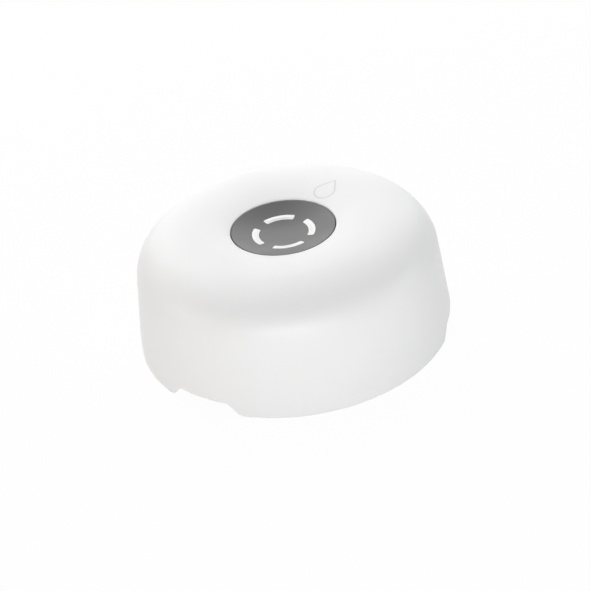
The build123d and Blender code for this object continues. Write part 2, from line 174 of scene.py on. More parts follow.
@dataclass(frozen=True)
class Finish:
    """What every finish shares: name, colour and gloss, drifting slowly over the surface.

    drift_size is the size of one cloud of the drift, and gloss_clouds is the size of the clouds in
    the gloss as a share of it. The real grain of these surfaces is 0.05 to 0.15 mm, too fine to
    show at this size, so it is drawn at 0.2 to 0.5 mm.
    """

    name: str
    colour: str
    drift_colour: str
    roughness: float
    roughness_drift: float = 0.04
    drift_size: float = 14.0
    gloss_clouds: float = 0.6
    metallic: float = 0.0
    ior: float = 1.5
    grain_size: float = 0.35
    grain_depth: float = 0.003

    def material(self) -> bpy.types.Material:
        """Builds the node material.

        Returns:
            The material, with colour, gloss and relief from procedural nodes.
        """
        made = bpy.data.materials.new(self.name)
        tree = empty_tree(made)
        place = add_node(tree, "ShaderNodeTexCoord").outputs["Object"]
        shader = add_node(tree, "ShaderNodeBsdfPrincipled", self.shader_settings())
        tree.links.new(self.colour_socket(tree, place), shader.inputs["Base Color"])
        tree.links.new(self.gloss_socket(tree, place), shader.inputs["Roughness"])
        tree.links.new(self.relief_socket(tree, place), shader.inputs["Normal"])
        add_node(tree, "ShaderNodeOutputMaterial", links={"Surface": shader.outputs["BSDF"]})
        made.diffuse_color = linear(self.colour)
        return made

    def shader_settings(self) -> dict[str, Any]:
        """Values that are the same all over the surface."""
        return {"Metallic": self.metallic, "IOR": self.ior}

    def drift(self, tree: Tree, place: Socket, size: float) -> Socket:
        """Slow cloudy variation, from 0 to 1.

        Args:
            tree: Node tree of the material.
            place: Coordinates of the surface in metres.
            size: Size of one cloud in millimetres.

        Returns:
            The socket that gives the variation.
        """
        settings = {"Scale": per_metre(size), "Detail": 2.0, "Roughness": 0.5}
        return add_node(tree, "ShaderNodeTexNoise", settings, {"Vector": place}).outputs["Fac"]

    def colour_socket(self, tree: Tree, place: Socket) -> Socket:
        """Colour, drifting between the two colours of the finish.

        Args:
            tree: Node tree of the material.
            place: Coordinates of the surface in metres.

        Returns:
            The socket that gives the colour.
        """
        ends = {MIX_FIRST: linear(self.colour), MIX_SECOND: linear(self.drift_colour)}
        share = {MIX_SHARE: self.drift(tree, place, self.drift_size)}
        mixed = add_node(tree, "ShaderNodeMix", {"data_type": "RGBA"} | ends, share)
        return mixed.outputs[MIX_RESULT]

    def gloss_socket(self, tree: Tree, place: Socket) -> Socket:
        """Roughness, a little uneven as a real surface is.

        Args:
            tree: Node tree of the material.
            place: Coordinates of the surface in metres.

        Returns:
            The socket that gives the roughness.
        """
        low, high = self.roughness - self.roughness_drift, self.roughness + self.roughness_drift
        share = self.drift(tree, place, self.drift_size * self.gloss_clouds)
        settings = {"From Min": 0.3, "From Max": 0.7, "To Min": low, "To Max": high}
        return add_node(tree, "ShaderNodeMapRange", settings, {"Value": share}).outputs["Result"]

    def relief_socket(self, tree: Tree, place: Socket) -> Socket:
        """Fine relief left by the tool that made the surface.

        Args:
            tree: Node tree of the material.
            place: Coordinates of the surface in metres.

        Returns:
            The socket that gives the bumped normal.
        """
        settings = {"Scale": per_metre(self.grain_size), "Detail": 3.0, "Roughness": 0.6}
        grain = add_node(tree, "ShaderNodeTexNoise", settings, {"Vector": place})
        depth = {"Strength": 1.0, "Distance": self.grain_depth * MM}
        bumped = add_node(tree, "ShaderNodeBump", depth, {"Height": grain.outputs["Fac"]})
        return bumped.outputs["Normal"]


@dataclass(frozen=True)
class MouldedPlastic(Finish):
    """Injection-moulded plastic from a spark-eroded tool.

    The eroded tool leaves a fine pebbled grain, which spreads the highlight to a soft satin.
    """

    scatter: float = 0.0
    scatter_depth: float = 0.6

    def shader_settings(self) -> dict[str, Any]:
        """Values that are the same all over, with the light that sinks in below the surface.

        Returns:
            Values by the name of the shader's input.
        """
        scattering = {
            "Subsurface Weight": self.scatter,
            "Subsurface Radius": (1.0, 1.0, 1.0),
            "Subsurface Scale": self.scatter_depth * MM,
        }
        return super().shader_settings() | scattering


@dataclass(frozen=True)
class WorkedMetal(Finish):
    """Metal sheet or turned metal, bright or plated.

    Rolling, turning or plating leaves lines or pits, which draw the highlight out along them.
    """

    metallic: float = 1.0
    lay: Lay = Lay.ROLLED

    def shader_settings(self) -> dict[str, Any]:
        """Values that are the same all over; a metal keeps the shader's own IOR."""
        return {"Metallic": self.metallic}

    def relief_socket(self, tree: Tree, place: Socket) -> Socket:
        """Lines drawn out along the way that the metal was worked.

        Args:
            tree: Node tree of the material.
            place: Coordinates of the surface in metres.

        Returns:
            The socket that gives the bumped normal.
        """
        closer = {"Scale": self.lay.value}
        drawn_out = add_node(tree, "ShaderNodeMapping", closer, {"Vector": place})
        return super().relief_socket(tree, drawn_out.outputs["Vector"])


@dataclass(frozen=True)
class LaminatedBoard(Finish):
    """Glass-epoxy board under green solder mask.

    The mask is glossy and shows the copper tracks below it as paler, slightly raised lines.
    """

    track_colour: str = "#3D8A55"
    track_pitch: float = 1.6
    track_length: float = 6.5
    track_width: float = 0.3
    track_height: float = 0.03

    def tracks(self, tree: Tree, place: Socket) -> Socket:
        """Pattern of the tracks.

        Args:
            tree: Node tree of the material.
            place: Coordinates of the surface in metres.

        Returns:
            The socket that gives 1 on a copper track and 0 between tracks.
        """
        runs = {
            "offset": 0.35,
            "Scale": 1.0,
            "Mortar Size": self.track_width / 2 * MM,
            "Brick Width": self.track_length * MM,
            "Row Height": self.track_pitch * MM,
        }
        return add_node(tree, "ShaderNodeTexBrick", runs, {"Vector": place}).outputs["Fac"]

    def colour_socket(self, tree: Tree, place: Socket) -> Socket:
        """Mask colour, paler over the tracks.

        Args:
            tree: Node tree of the material.
            place: Coordinates of the surface in metres.

        Returns:
            The socket that gives the colour.
        """
        ends = {"data_type": "RGBA", MIX_SECOND: linear(self.track_colour)}
        mask = super().colour_socket(tree, place)
        sources = {MIX_SHARE: self.tracks(tree, place), MIX_FIRST: mask}
        return add_node(tree, "ShaderNodeMix", ends, sources).outputs[MIX_RESULT]

    def relief_socket(self, tree: Tree, place: Socket) -> Socket:
        """The tracks stand a little proud under the mask.

        Args:
            tree: Node tree of the material.
            place: Coordinates of the surface in metres.

        Returns:
            The socket that gives the bumped normal.
        """
        depth = {"Strength": 1.0, "Distance": self.track_height * MM}
        raised = add_node(tree, "ShaderNodeBump", depth, {"Height": self.tracks(tree, place)})
        return raised.outputs["Normal"]


@dataclass(frozen=True)
class PrintedJacket(Finish):
    """Shrunk printed film round a dry cell.

    The film is glossy, with one metallic band at the positive end. facing is 1 where that end
    points to +X, and -1 where it points to -X.
    """

    band_colour: str = "#9AA1A8"
    band_start: float = 12.0
    facing: float = 1.0

    def colour_socket(self, tree: Tree, place: Socket) -> Socket:
        """Dark film, with the band towards the positive end.

        Args:
            tree: Node tree of the material.
            place: Coordinates of the surface in metres.

        Returns:
            The socket that gives the colour.
        """
        along = add_node(tree, "ShaderNodeSeparateXYZ", links={"Vector": place}).outputs["X"]
        signed = {"operation": "MULTIPLY", 1: self.facing}
        forward = add_node(tree, "ShaderNodeMath", signed, {0: along}).outputs["Value"]
        limit = {"operation": "GREATER_THAN", 1: self.band_start * MM}
        band = add_node(tree, "ShaderNodeMath", limit, {0: forward}).outputs["Value"]
        ends = {"data_type": "RGBA", MIX_SECOND: linear(self.band_colour)}
        sources = {MIX_SHARE: band, MIX_FIRST: super().colour_socket(tree, place)}
        return add_node(tree, "ShaderNodeMix", ends, sources).outputs[MIX_RESULT]


# White ABS from a spark-eroded tool: even, neutral white with a broad soft highlight.
WHITE_ABS = MouldedPlastic(
    "white_abs_satin_moulded", "#F1F1F1", "#EFEFEF", 0.42, ior=1.53, scatter=0.08
)
# Dark grey ABS from a finer tool: a closed satin that takes up the bright room at a low angle.
DARK_ABS = MouldedPlastic(
    "dark_abs_fine_moulded",
    "#28282A",
    "#252527",
    0.3,
    ior=1.49,
    grain_size=0.3,
    grain_depth=0.002,
)
# Diffusing polycarbonate, polished tool: milky white with a tight gloss, light spreads inside it.
MILKY_PC = MouldedPlastic(
    "milky_polycarbonate_moulded",
    "#FAFAF8",
    "#F6F6F4",
    0.25,
    ior=1.58,
    scatter=0.3,
    grain_depth=0.001,
)
# Pad-printed ink on the shell: a thin flat film, duller than the plastic round it.
GREY_INK = MouldedPlastic(
    "grey_pad_printed_ink", "#DEDFDF", "#D9DADA", 0.55, grain_size=0.2, grain_depth=0.001
)
# Clear liquid silicone, moulded: rubbery sheen, pale and cloudy in thin walls.
CLEAR_SILICONE = MouldedPlastic(
    "clear_silicone_moulded",
    "#DDE0E0",
    "#D2D6D6",
    0.3,
    ior=1.41,
    scatter=0.5,
    scatter_depth=1.5,
)
# Glass-epoxy laminate under solder mask: glossy green with paler tracks.
GREEN_BOARD = LaminatedBoard("board_green_solder_mask", "#1F6B3A", "#1B6033", 0.3)
# Glass-filled nylon, moulded: matt black with a dry grain where the fibres reach the surface.
BLACK_NYLON = MouldedPlastic(
    "black_nylon_moulded",
    "#1C1C1E",
    "#242426",
    0.5,
    ior=1.53,
    grain_size=0.2,
    grain_depth=0.006,
)
# White ceramic-filled package with a phosphor window: chalky and slightly yellow.
LED_PACKAGE = MouldedPlastic(
    "led_package_moulded", "#F2E9B8", "#F5F1DA", 0.4, drift_size=1.0, scatter=0.2
)
# Tin-plated steel, cold rolled: bright grey with long fine lines.
TINNED_STEEL = WorkedMetal(
    "tinned_steel_rolled",
    "#C9CBCC",
    "#BFC1C2",
    0.28,
    grain_size=0.4,
    grain_depth=0.004,
    lay=Lay.ROLLED,
)
# Aluminium can, drawn and lacquered: soft silver, lines round the can.
DRAWN_ALUMINIUM = WorkedMetal(
    "aluminium_can_drawn",
    "#D5D6D6",
    "#CBCCCC",
    0.3,
    grain_size=0.4,
    grain_depth=0.004,
    lay=Lay.TURNED,
)
# Grey ABS of the cradle, plain moulded: even mid grey, satin.
GREY_ABS = MouldedPlastic("grey_abs_moulded", "#8E9194", "#888B8E", 0.45, ior=1.53)
# Printed film of the two cells: glossy dark grey with one pale band, at opposite ends.
REAR_JACKET = PrintedJacket("cell_jacket_printed_film", "#26292D", "#2B2E33", 0.25)
FRONT_JACKET = PrintedJacket(
    "cell_jacket_printed_film_turned", "#26292D", "#2B2E33", 0.25, facing=-1.0
)
# Nickel-plated spring steel, stamped: yellowish silver with a clear highlight.
NICKEL_STEEL = WorkedMetal(
    "nickel_plated_steel_stamped", "#C8C2B6", "#BDB7AB", 0.22, grain_size=0.5, lay=Lay.ROLLED
)
# Zinc-plated screws: bluish silver, slightly cloudy.
ZINC_STEEL = WorkedMetal(
    "zinc_plated_steel_turned", "#BFC5C9", "#B2B9BE", 0.32, drift_size=2.0, lay=Lay.TURNED
)
# EPDM rubber, compression moulded: dull black with a faint bloom.
BLACK_RUBBER = MouldedPlastic(
    "black_rubber_moulded",
    "#1A1A1A",
    "#232323",
    0.7,
    ior=1.52,
    grain_size=0.25,
    grain_depth=0.008,
)
# Gold over nickel on turned brass: warm, bright, with faint turning lines round the dome.
GOLD_PLATE = WorkedMetal(
    "gold_plated_brass_turned",
    "#E3B968",
    "#D9AE5D",
    0.2,
    drift_size=3.0,
    grain_depth=0.002,
    lay=Lay.TURNED,
)

FRAME_FINISHES: dict[str, Finish] = {
    "button_boot": CLEAR_SILICONE,
    "circuit_board": GREEN_BOARD,
    "tact_switch": BLACK_NYLON,
    "switch_plunger": BLACK_NYLON,
    "status_leds": LED_PACKAGE,
    "buzzer": BLACK_NYLON,
    "radio_shield": TINNED_STEEL,
    "supply_capacitor": DRAWN_ALUMINIUM,
    "antenna": TINNED_STEEL,
    "battery_cradle": GREY_ABS,
    "battery_rear": REAR_JACKET,
    "battery_front": FRONT_JACKET,
    "cell_bridge": NICKEL_STEEL,
    "positive_contact": NICKEL_STEEL,
    "negative_contact": NICKEL_STEEL,
    "board_screws": ZINC_STEEL,
    "base_gasket": BLACK_RUBBER,
    "probe_pins": GOLD_PLATE,
}


# Section and mesh helpers


def arc(centre: Point, radius: float, start: float, end: float, steps: int) -> Section:
    """Points along an arc in a section.

    Args:
        centre: Centre as (radius from the axis, height).
        radius: Radius of the arc.
        start: First angle in radians.
        end: Last angle in radians.
        steps: Number of stretches that the arc is divided into.

    Returns:
        The points from start to end.
    """
    angles = np.linspace(start, end, steps + 1)
    x, z = centre
    return [(x + radius * math.cos(angle), z + radius * math.sin(angle)) for angle in angles]


def rounded(corners: Sequence[Corner], steps: int) -> Section:
    """Rounds the inner corners of an open outline.

    Args:
        corners: Corners as (radius from the axis, height, rounding); a rounding of 0 stays sharp.
        steps: Number of stretches in each rounding.

    Returns:
        The points of the outline, in order.
    """
    points: Section = []
    for index, (x, z, rounding) in enumerate(corners):
        if rounding == 0 or index in (0, len(corners) - 1):
            points.append((x, z))
            continue
        corner = np.array((x, z))
        back = np.array(corners[index - 1][:2]) - corner
        ahead = np.array(corners[index + 1][:2]) - corner
        back, ahead = back / np.linalg.norm(back), ahead / np.linalg.norm(ahead)
        half = math.acos(float(np.clip(back @ ahead, -1, 1))) / 2
        reach = rounding / math.tan(half)
        middle = (back + ahead) / np.linalg.norm(back + ahead)
        centre = corner + middle * rounding / math.sin(half)
        first, last = corner + back * reach - centre, corner + ahead * reach - centre
        start = math.atan2(first[1], first[0])
        sweep = (math.atan2(last[1], last[0]) - start + math.pi) % (2 * math.pi) - math.pi
        points += arc((centre[0], centre[1]), rounding, start, start + sweep, steps)
    return points


def rounded_box(
    inner: float, outer: float, bottom: float, top: float, rounding: float, steps: int
) -> Section:
    """Closed oblong section with its four corners rounded.

    Args:
        inner: Distance of the near side from the axis.
        outer: Distance of the far side from the axis.
        bottom: Height of the lower side.
        top: Height of the upper side.
        rounding: Rounding of the corners.
        steps: Number of stretches in each rounding.

    Returns:
        The points once round, from the lower inner corner outwards.
    """
    plan = ((inner, bottom), (outer, bottom), (outer, top), (inner, top))
    corners = [(x, z, rounding) for x, z in plan]
    return rounded([corners[-1], *corners, corners[0]], steps)[1:-1]


def eased_edge(rounding: float) -> list[Point]:
    """Rounded edge in three points, each as (distance drawn in, distance along the side)."""
    cut = rounding * CURVE_CUT
    return [(rounding, 0.0), (cut, cut), (0.0, rounding)]


def soft_step(value: np.ndarray, rounding: float) -> np.ndarray:
    """Ramp held between 0 and 1, with rounded corners.

    Args:
        value: Ramp that passes through 0 and 1.
        rounding: How far each corner is eased, as a share of the ramp.

    Returns:
        The eased ramp.
    """
    low = np.clip(value + rounding, 0, 2 * rounding) ** 2 / (4 * rounding)
    high = np.clip(1 + rounding - value, 0, 2 * rounding) ** 2 / (4 * rounding)
    return np.where(value < rounding, low, np.where(value > 1 - rounding, 1 - high, value))


def away_from(angles: np.ndarray, middle: float) -> np.ndarray:
    """Degrees, with their sign, from a middle angle the short way round."""
    return (angles - middle + 180) % 360 - 180


def round_angles(step: float, close: Iterable[Stretch] = ()) -> np.ndarray:
    """Angles once round the axis, closer together in the stretches that need it.

    Args:
        step: Step in degrees away from those stretches.
        close: The stretches that have a step of their own.

    Returns:
        Rising angles in degrees, from 0 to below 360.
    """
    angles = np.arange(0, 360, step)
    least = step
    for start, end, fine_step in close:
        span = (end - start) % 360
        outside = (angles - start) % 360 > span + fine_step / 2
        fine = (start + np.arange(0, span + fine_step / 2, fine_step)) % 360
        angles = np.concatenate([angles[outside], fine])
        least = min(least, fine_step)
    angles = np.sort(angles)
    keep = np.diff(angles, append=angles[0] + 360) > least * 0.4
    return angles[keep]


def polar_ring(
    radius: float | np.ndarray, angles: np.ndarray, height: float | np.ndarray
) -> Ring:
    """Ring of points about the axis.

    Args:
        radius: Distance from the axis, one for all columns or one for each.
        angles: Angles of the columns in degrees.
        height: Height, one for all columns or one for each.

    Returns:
        The ring's points.
    """
    turn = np.radians(angles)
    places = np.broadcast_arrays(radius * np.cos(turn), radius * np.sin(turn), height)
    return np.stack(places, 1)


def spun(section: Section, angles: np.ndarray) -> list[Ring]:
    """Rings made by turning a section, as (radius, height) points, about the axis."""
    return [polar_ring(radius, angles, height) for radius, height in section]


def set_round(rings: Sequence[Ring], radius: float, angle: float) -> list[Ring]:
    """Moves rings made at the axis to a place on a circle.

    Args:
        rings: Rings made about the axis.
        radius: Radius of the circle.
        angle: Angle of the place in degrees.

    Returns:
        The moved rings.
    """
    turn = math.radians(angle)
    move = np.array((radius * math.cos(turn), radius * math.sin(turn), 0))
    return [ring + move for ring in rings]


def raised(plan: np.ndarray, height: float | np.ndarray) -> Ring:
    """Ring that has these points in plan and this height, one for all points or one for each."""
    return np.column_stack([plan, np.broadcast_to(height, len(plan))])


def sector_rings(section: Section, middle: float, spread: float, edge: float) -> list[Ring]:
    """Rings of a bar that runs part of the way round the axis.

    Args:
        section: Closed section as (radius from the axis, height).
        middle: Middle angle in degrees.
        spread: Half of the angle that the bar covers, in degrees.
        edge: Rounding of the two ends, in millimetres.

    Returns:
        Rings from one end to the other, drawn in at the ends.
    """
    outline = np.array(section)
    centre = outline.mean(0)
    half = np.abs(outline - centre).max(0)
    reach = float(centre[0])
    end_rows = 4
    turns = np.linspace(0, math.pi / 2, end_rows)[:-1]
    backs = [math.degrees(edge * (1 - math.cos(turn)) / reach) - spread for turn in turns]
    lead = list(zip(backs, [edge * (1 - math.sin(turn)) for turn in turns]))
    straight = spread - math.degrees(edge / reach)
    steps = max(2, round(2 * spread / BAR_STEP))
    body = [(float(away), 0.0) for away in np.linspace(-straight, straight, steps + 1)]
    tail = [(-away, inset) for away, inset in reversed(lead)]
    rings = []
    for away, inset in lead + body + tail:
        shrunk = centre + (outline - centre) * (1 - inset / half)
        turn = math.radians(middle + away)
        ring = [(r * math.cos(turn), r * math.sin(turn), z) for r, z in shrunk]
        rings.append(np.array(ring))
    return rings


class Shape:
    """Mesh being gathered from rings and closed pieces, in millimetres."""

    def __init__(self) -> None:
        """Starts with no points and no faces."""
        self.points: list[tuple[float, ...]] = []
        self.faces: list[tuple[int, ...]] = []

    def add_rings(self, rings: Sequence[Ring], loop: bool = False) -> None:
        """Skins a row of rings, closing each ring on itself.

        Args:
            rings: Rings of equal length. Where `loop` is off, the first and last are closed over.
            loop: Whether the last ring joins the first, as on a tube bent round to a ring.
        """
        count = len(rings[0])
        first = len(self.points)
        for ring in rings:
            self.points += [tuple(point) for point in ring]
        rows = len(rings)
        for row in range(rows if loop else rows - 1):
            near, far = first + row * count, first + (row + 1) % rows * count
            for column in range(count):
                after = (column + 1) % count
                self.faces.append((near + column, near + after, far + after, far + column))
        if not loop:
            self.close_over(first, count, backward=True)
            self.close_over(first + (rows - 1) * count, count, backward=False)

    def close_over(self, first: int, count: int, backward: bool) -> None:
        """Closes a ring with a fan of faces about its middle.

        Args:
            first: Number of the ring's first point.
            count: Number of points in the ring.
            backward: Whether the faces run against the ring's own direction.
        """
        ring = np.array(self.points[first : first + count])
        middle = len(self.points)
        self.points.append(tuple(ring.mean(0)))
        for column in range(count):
            after = (column + 1) % count
            pair = (first + after, first + column) if backward else (first + column, first + after)
            self.faces.append((*pair, middle))

    def piece(self, name: str) -> bpy.types.Object:
        """Makes the Blender object, in metres, with outward faces and smooth shading.

        Args:
            name: Name of the piece.

        Returns:
            The new object, linked to the scene.
        """
        mesh = bpy.data.meshes.new(name)
        scaled = [tuple(value * MM for value in point) for point in self.points]
        mesh.from_pydata(scaled, [], self.faces)
        work = bmesh.new()
        work.from_mesh(mesh)
        bmesh.ops.remove_doubles(work, verts=work.verts, dist=1e-7)
        bmesh.ops.recalc_face_normals(work, faces=work.faces)
        work.to_mesh(mesh)
        work.free()
        mesh.polygons.foreach_set("use_smooth", [True] * len(mesh.polygons))
        mesh.set_sharp_from_angle(angle=SHARP_ANGLE)
        made = bpy.data.objects.new(name, mesh)
        bpy.context.scene.collection.objects.link(made)
        return made


def dress(piece: bpy.types.Object, finish: Finish, body: Body) -> None:
    """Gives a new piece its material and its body.

    Args:
        piece: The new piece.
        finish: Finish of its whole surface.
        body: Body that it rides on.
    """
    piece.data.materials.append(finish.material())
    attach(piece, body.value)
    faces = len(piece.data.polygons)
    log.info("%s: %d faces, %s, rides on %s", piece.name, faces, finish.name, body.value)


# Sub-assemblies


@dataclass(frozen=True)
class ShoulderArcs:
    """The two arcs of the shell's shoulder, centres as (radius from the axis, height).

    The side arc leaves the wall at the angle lean and runs into the crown arc at the angle
    meeting, both in radians.
    """

    side_centre: Point
    side_radius: float
    lean: float
    meeting: float
    crown_centre: Point
    crown_radius: float


@dataclass
class UpperHousing:
    """White shell: skirt with three gaps, drafted wall, rounded shoulder, crown and button well.

    lift_start and lift_end are the heights between which the rise over a gap fades out. slope_start
    and slope_end are the angles from a gap's middle between which its end slopes.
    """

    radius: float = 35.85
    height: float = 28.22
    band_height: float = 3.2
    band_easing: float = 1.2
    draft: float = 1.55
    shoulder_height: float = 18.77
    shoulder_arc: float = 9.5
    crown_radius: float = 21.6
    well_radius: float = 12.0
    well_rim: float = 26.72
    rim_rounding: float = 0.45
    mouth_radius: float = 11.9
    mouth_depth: float = 0.9
    mouth_rounding: float = 0.1
    pocket_height: float = 24.54
    guide_inner: float = 13.3
    guide_outer: float = 15.1
    guide_bottom: float = 20.75
    guide_root: float = 25.27
    guide_rounding: float = 0.2
    guide_fillet: float = 0.6
    wall: float = 2.2
    skirt_inner: float = 33.85
    seal_inner: float = 30.15
    seal_bottom: float = 5.85
    seal_top: float = 7.25
    seal_rounding: float = 0.2
    seal_fillet: float = 0.4
    foot_rounding: float = 0.4
    notch_height: float = 2.8
    notch_width: float = 13.1
    notch_rounding: float = 0.22
    lift_start: float = 0.6
    lift_end: float = 5.6
    slope_start: float = 9.0
    slope_end: float = 17.5
    slope_step: float = 0.28
    ledge_inner: float = 32.55
    ledge_root: float = 1.0
    ledge_bottom: float = 2.2
    ledge_top: float = 3.4
    ledge_spread: float = 14.0
    ledge_rounding: float = 0.2
    ledge_end_rounding: float = 0.25
    stop_bottom: float = 2.3
    stop_top: float = 4.8
    stop_middle: float = 12.6
    stop_spread: float = 1.0
    stop_end_rounding: float = 0.15
    boss_circle: float = 24.55
    boss_radius: float = 2.9
    boss_bottom: float = 18.75
    boss_rounding: float = 0.3
    boss_sink: float = 0.1
    boss_angles: tuple[float, ...] = (90.0, 235.0, 305.0)
    rib_width: float = 1.2
    rib_bottom: float = 19.95
    rib_reach: float = 32.2
    key_slot_width: float = 2.4
    key_slot_reach: float = 14.0
    key_slot_edge: float = 5.2
    key_slot_step: float = 0.45

    def shoulder(self) -> ShoulderArcs:
        """Works out the two arcs of the shoulder, each running smoothly into the next.

        Returns:
            The arcs, of which the crown arc is level at the top of the shell.
        """
        lean = math.atan(self.draft / (self.shoulder_height - self.band_height))
        side_x = self.radius - self.draft - self.shoulder_arc * math.cos(lean)
        side_z = self.shoulder_height - self.shoulder_arc * math.sin(lean)
        run, drop = side_x - self.crown_radius, self.height - side_z
        crown_arc = (run**2 + drop**2 - self.shoulder_arc**2) / (2 * (drop - self.shoulder_arc))
        crown_z = self.height - crown_arc
        meeting = math.atan2(side_z - crown_z, run)
        side, crown = (side_x, side_z), (self.crown_radius, crown_z)
        return ShoulderArcs(side, self.shoulder_arc, lean, meeting, crown, crown_arc)

    def roll_down(self) -> tuple[float, float]:
        """Works out the arc that falls from the top of the crown to the rim of the well.

        Returns:
            Its radius, and the angle that it covers in radians.
        """
        run, fall = self.crown_radius - self.well_radius, self.height - self.well_rim
        radius = (run**2 + fall**2) / (2 * fall)
        return radius, math.asin(run / radius)

    def crown_height(self, radius: np.ndarray) -> np.ndarray:
        """Height of the top surface between the well and the shoulder.

        Args:
            radius: Distances from the axis.

        Returns:
            The height at each distance.
        """
        roll, _ = self.roll_down()
        shoulder = self.shoulder()
        away = (radius - self.crown_radius) ** 2
        inside = self.height - roll + np.sqrt(roll**2 - away)
        outside = shoulder.crown_centre[1] + np.sqrt(shoulder.crown_radius**2 - away)
        return np.where(radius < self.crown_radius, inside, outside)

    def wall_radius(self, height: np.ndarray) -> np.ndarray:
        """Outer radius of band and wall, the bend between them eased.

        Args:
            height: Heights above the floor.

        Returns:
            The radius at each height.
        """
        slope = self.draft / (self.shoulder_height - self.band_height)
        over, ease = height - self.band_height, self.band_easing
        bent = np.where(over < ease, np.clip(over + ease, 0, None) ** 2 / (4 * ease), over)
        return self.radius - slope * bent

    def rim_section(self) -> Section:
        """Section of the arc from the top of the crown down to the rim of the well.

        Returns:
            The points of the arc, both ends included.
        """
        roll, roll_end = self.roll_down()
        centre = (self.crown_radius, self.height - roll)
        return arc(centre, roll, math.pi / 2, math.pi / 2 + roll_end, steps=14)

    def outer_section(self) -> Section:
        """Section from the foot up the wall, over the shoulder and down to the well.

        Returns:
            The points of the section, up to the last one before the rim.
        """
        shoulder = self.shoulder()
        lean, meeting = shoulder.lean, shoulder.meeting
        ease = self.foot_rounding
        foot = arc((self.radius - ease, ease), ease, -math.pi / 2, 0, steps=5)
        low_rows, high_rows = 13, 7
        low = np.linspace(ease, self.lift_end, low_rows)[1:]
        high = np.linspace(self.lift_end, self.shoulder_height, high_rows)[1:-1]
        wall = [(float(self.wall_radius(z)), float(z)) for z in np.concatenate([low, high])]
        over = arc(shoulder.side_centre, shoulder.side_radius, lean, meeting, steps=18)
        over += arc(shoulder.crown_centre, shoulder.crown_radius, meeting, math.pi / 2, steps=16)[1:]
        return foot + wall + over + self.rim_section()[1:-1]

    def well_section(self) -> Section:
        """Section from the rim of the well down it and round the guide tube.

        Returns:
            The points of the section, without the corner that the outer section ends at.
        """
        corners = [
            (*self.rim_section()[-2], 0.0),
            (self.mouth_radius, self.well_rim, self.rim_rounding),
            (self.well_radius, self.well_rim - self.mouth_depth, self.mouth_rounding),
            (self.well_radius, self.pocket_height, 0.0),
            (self.guide_inner, self.pocket_height, 0.0),
            (self.guide_inner, self.guide_bottom, self.guide_rounding),
            (self.guide_outer, self.guide_bottom, self.guide_rounding),
            (self.guide_outer, self.guide_root, self.guide_fillet),
            (self.crown_radius, self.height - self.wall, 0.0),
        ]
        # The rounding's first point is left out, and the crown runs straight to its second.
        return rounded(corners, steps=6)[2:]

    def inner_section(self) -> Section:
        """Section of the ceiling, the inner wall, the sealing ring and the inside of the skirt.

        Returns:
            The points of the section, the last ones under the foot.
        """
        shoulder = self.shoulder()
        lean, meeting = shoulder.lean, shoulder.meeting
        crown_arc, side_arc = shoulder.crown_radius - self.wall, shoulder.side_radius - self.wall
        ceiling = arc(shoulder.crown_centre, crown_arc, math.pi / 2, meeting, steps=8)[1:]
        ceiling += arc(shoulder.side_centre, side_arc, meeting, lean, steps=8)[1:]
        seal_outer = float(self.wall_radius(np.float64(self.seal_top))) - self.wall
        corners = [
            (*ceiling[-1], 0.0),
            (seal_outer, self.seal_top, self.seal_fillet),
            (self.seal_inner, self.seal_top, self.seal_rounding),
            (self.seal_inner, self.seal_bottom, self.seal_rounding),
            (self.skirt_inner, self.seal_bottom, self.seal_fillet),
            (self.skirt_inner, self.lift_start, 0.0),
        ]
        wall = ceiling + rounded(corners, steps=3)[1:-1]
        margin, rows = 0.5, 9
        low = np.linspace(self.lift_end - margin, self.lift_start, rows)
        ease = self.foot_rounding / 2
        foot = arc((self.skirt_inner + ease, ease), ease, math.pi, math.pi * 1.5, steps=3)
        return wall + [(self.skirt_inner, float(z)) for z in low] + foot

    def gap_rise(self, radius: np.ndarray, angles: np.ndarray) -> np.ndarray:
        """Rise of the foot over the gaps in the skirt.

        Args:
            radius: Distance of each column from the axis.
            angles: Angles of the columns in degrees.

        Returns:
            The rise of each column, 0 away from the gaps.
        """
        rise = np.zeros_like(radius)
        reach = 180 / len(NOTCH_ANGLES)
        foot = self.notch_width / 2 + self.notch_height
        for middle in NOTCH_ANGLES:
            turn = away_from(angles, middle)
            side = np.abs(radius * np.sin(np.radians(turn)))
            side = np.where(np.abs(turn) < reach, side, np.inf)
            ramp = (foot - side) / self.notch_height
            rise = np.maximum(rise, self.notch_height * soft_step(ramp, self.notch_rounding))
        return rise

    def lifted(self, rings: list[Ring], angles: np.ndarray) -> list[Ring]:
        """Lifts the foot over each gap in the skirt, with sloping ends and rounded corners.

        Args:
            rings: Rings of the shell, all with the same columns.
            angles: Angles of the columns in degrees.

        Returns:
            The rings with the three gaps formed.
        """
        shaped = []
        for ring in rings:
            height = ring[:, 2].copy()
            if height[0] >= self.lift_end:
                shaped.append(ring)
                continue
            radius = np.hypot(ring[:, 0], ring[:, 1])
            share = np.clip((height - self.lift_start) / (self.lift_end - self.lift_start), 0, 1)
            fade = 1 - share * share * (3 - 2 * share)
            new_height = height + self.gap_rise(radius, angles) * fade
            if radius.mean() > self.skirt_inner + self.foot_rounding:
                radius = radius + self.wall_radius(new_height) - self.wall_radius(height)
            shaped.append(polar_ring(radius, angles, new_height))
        return shaped

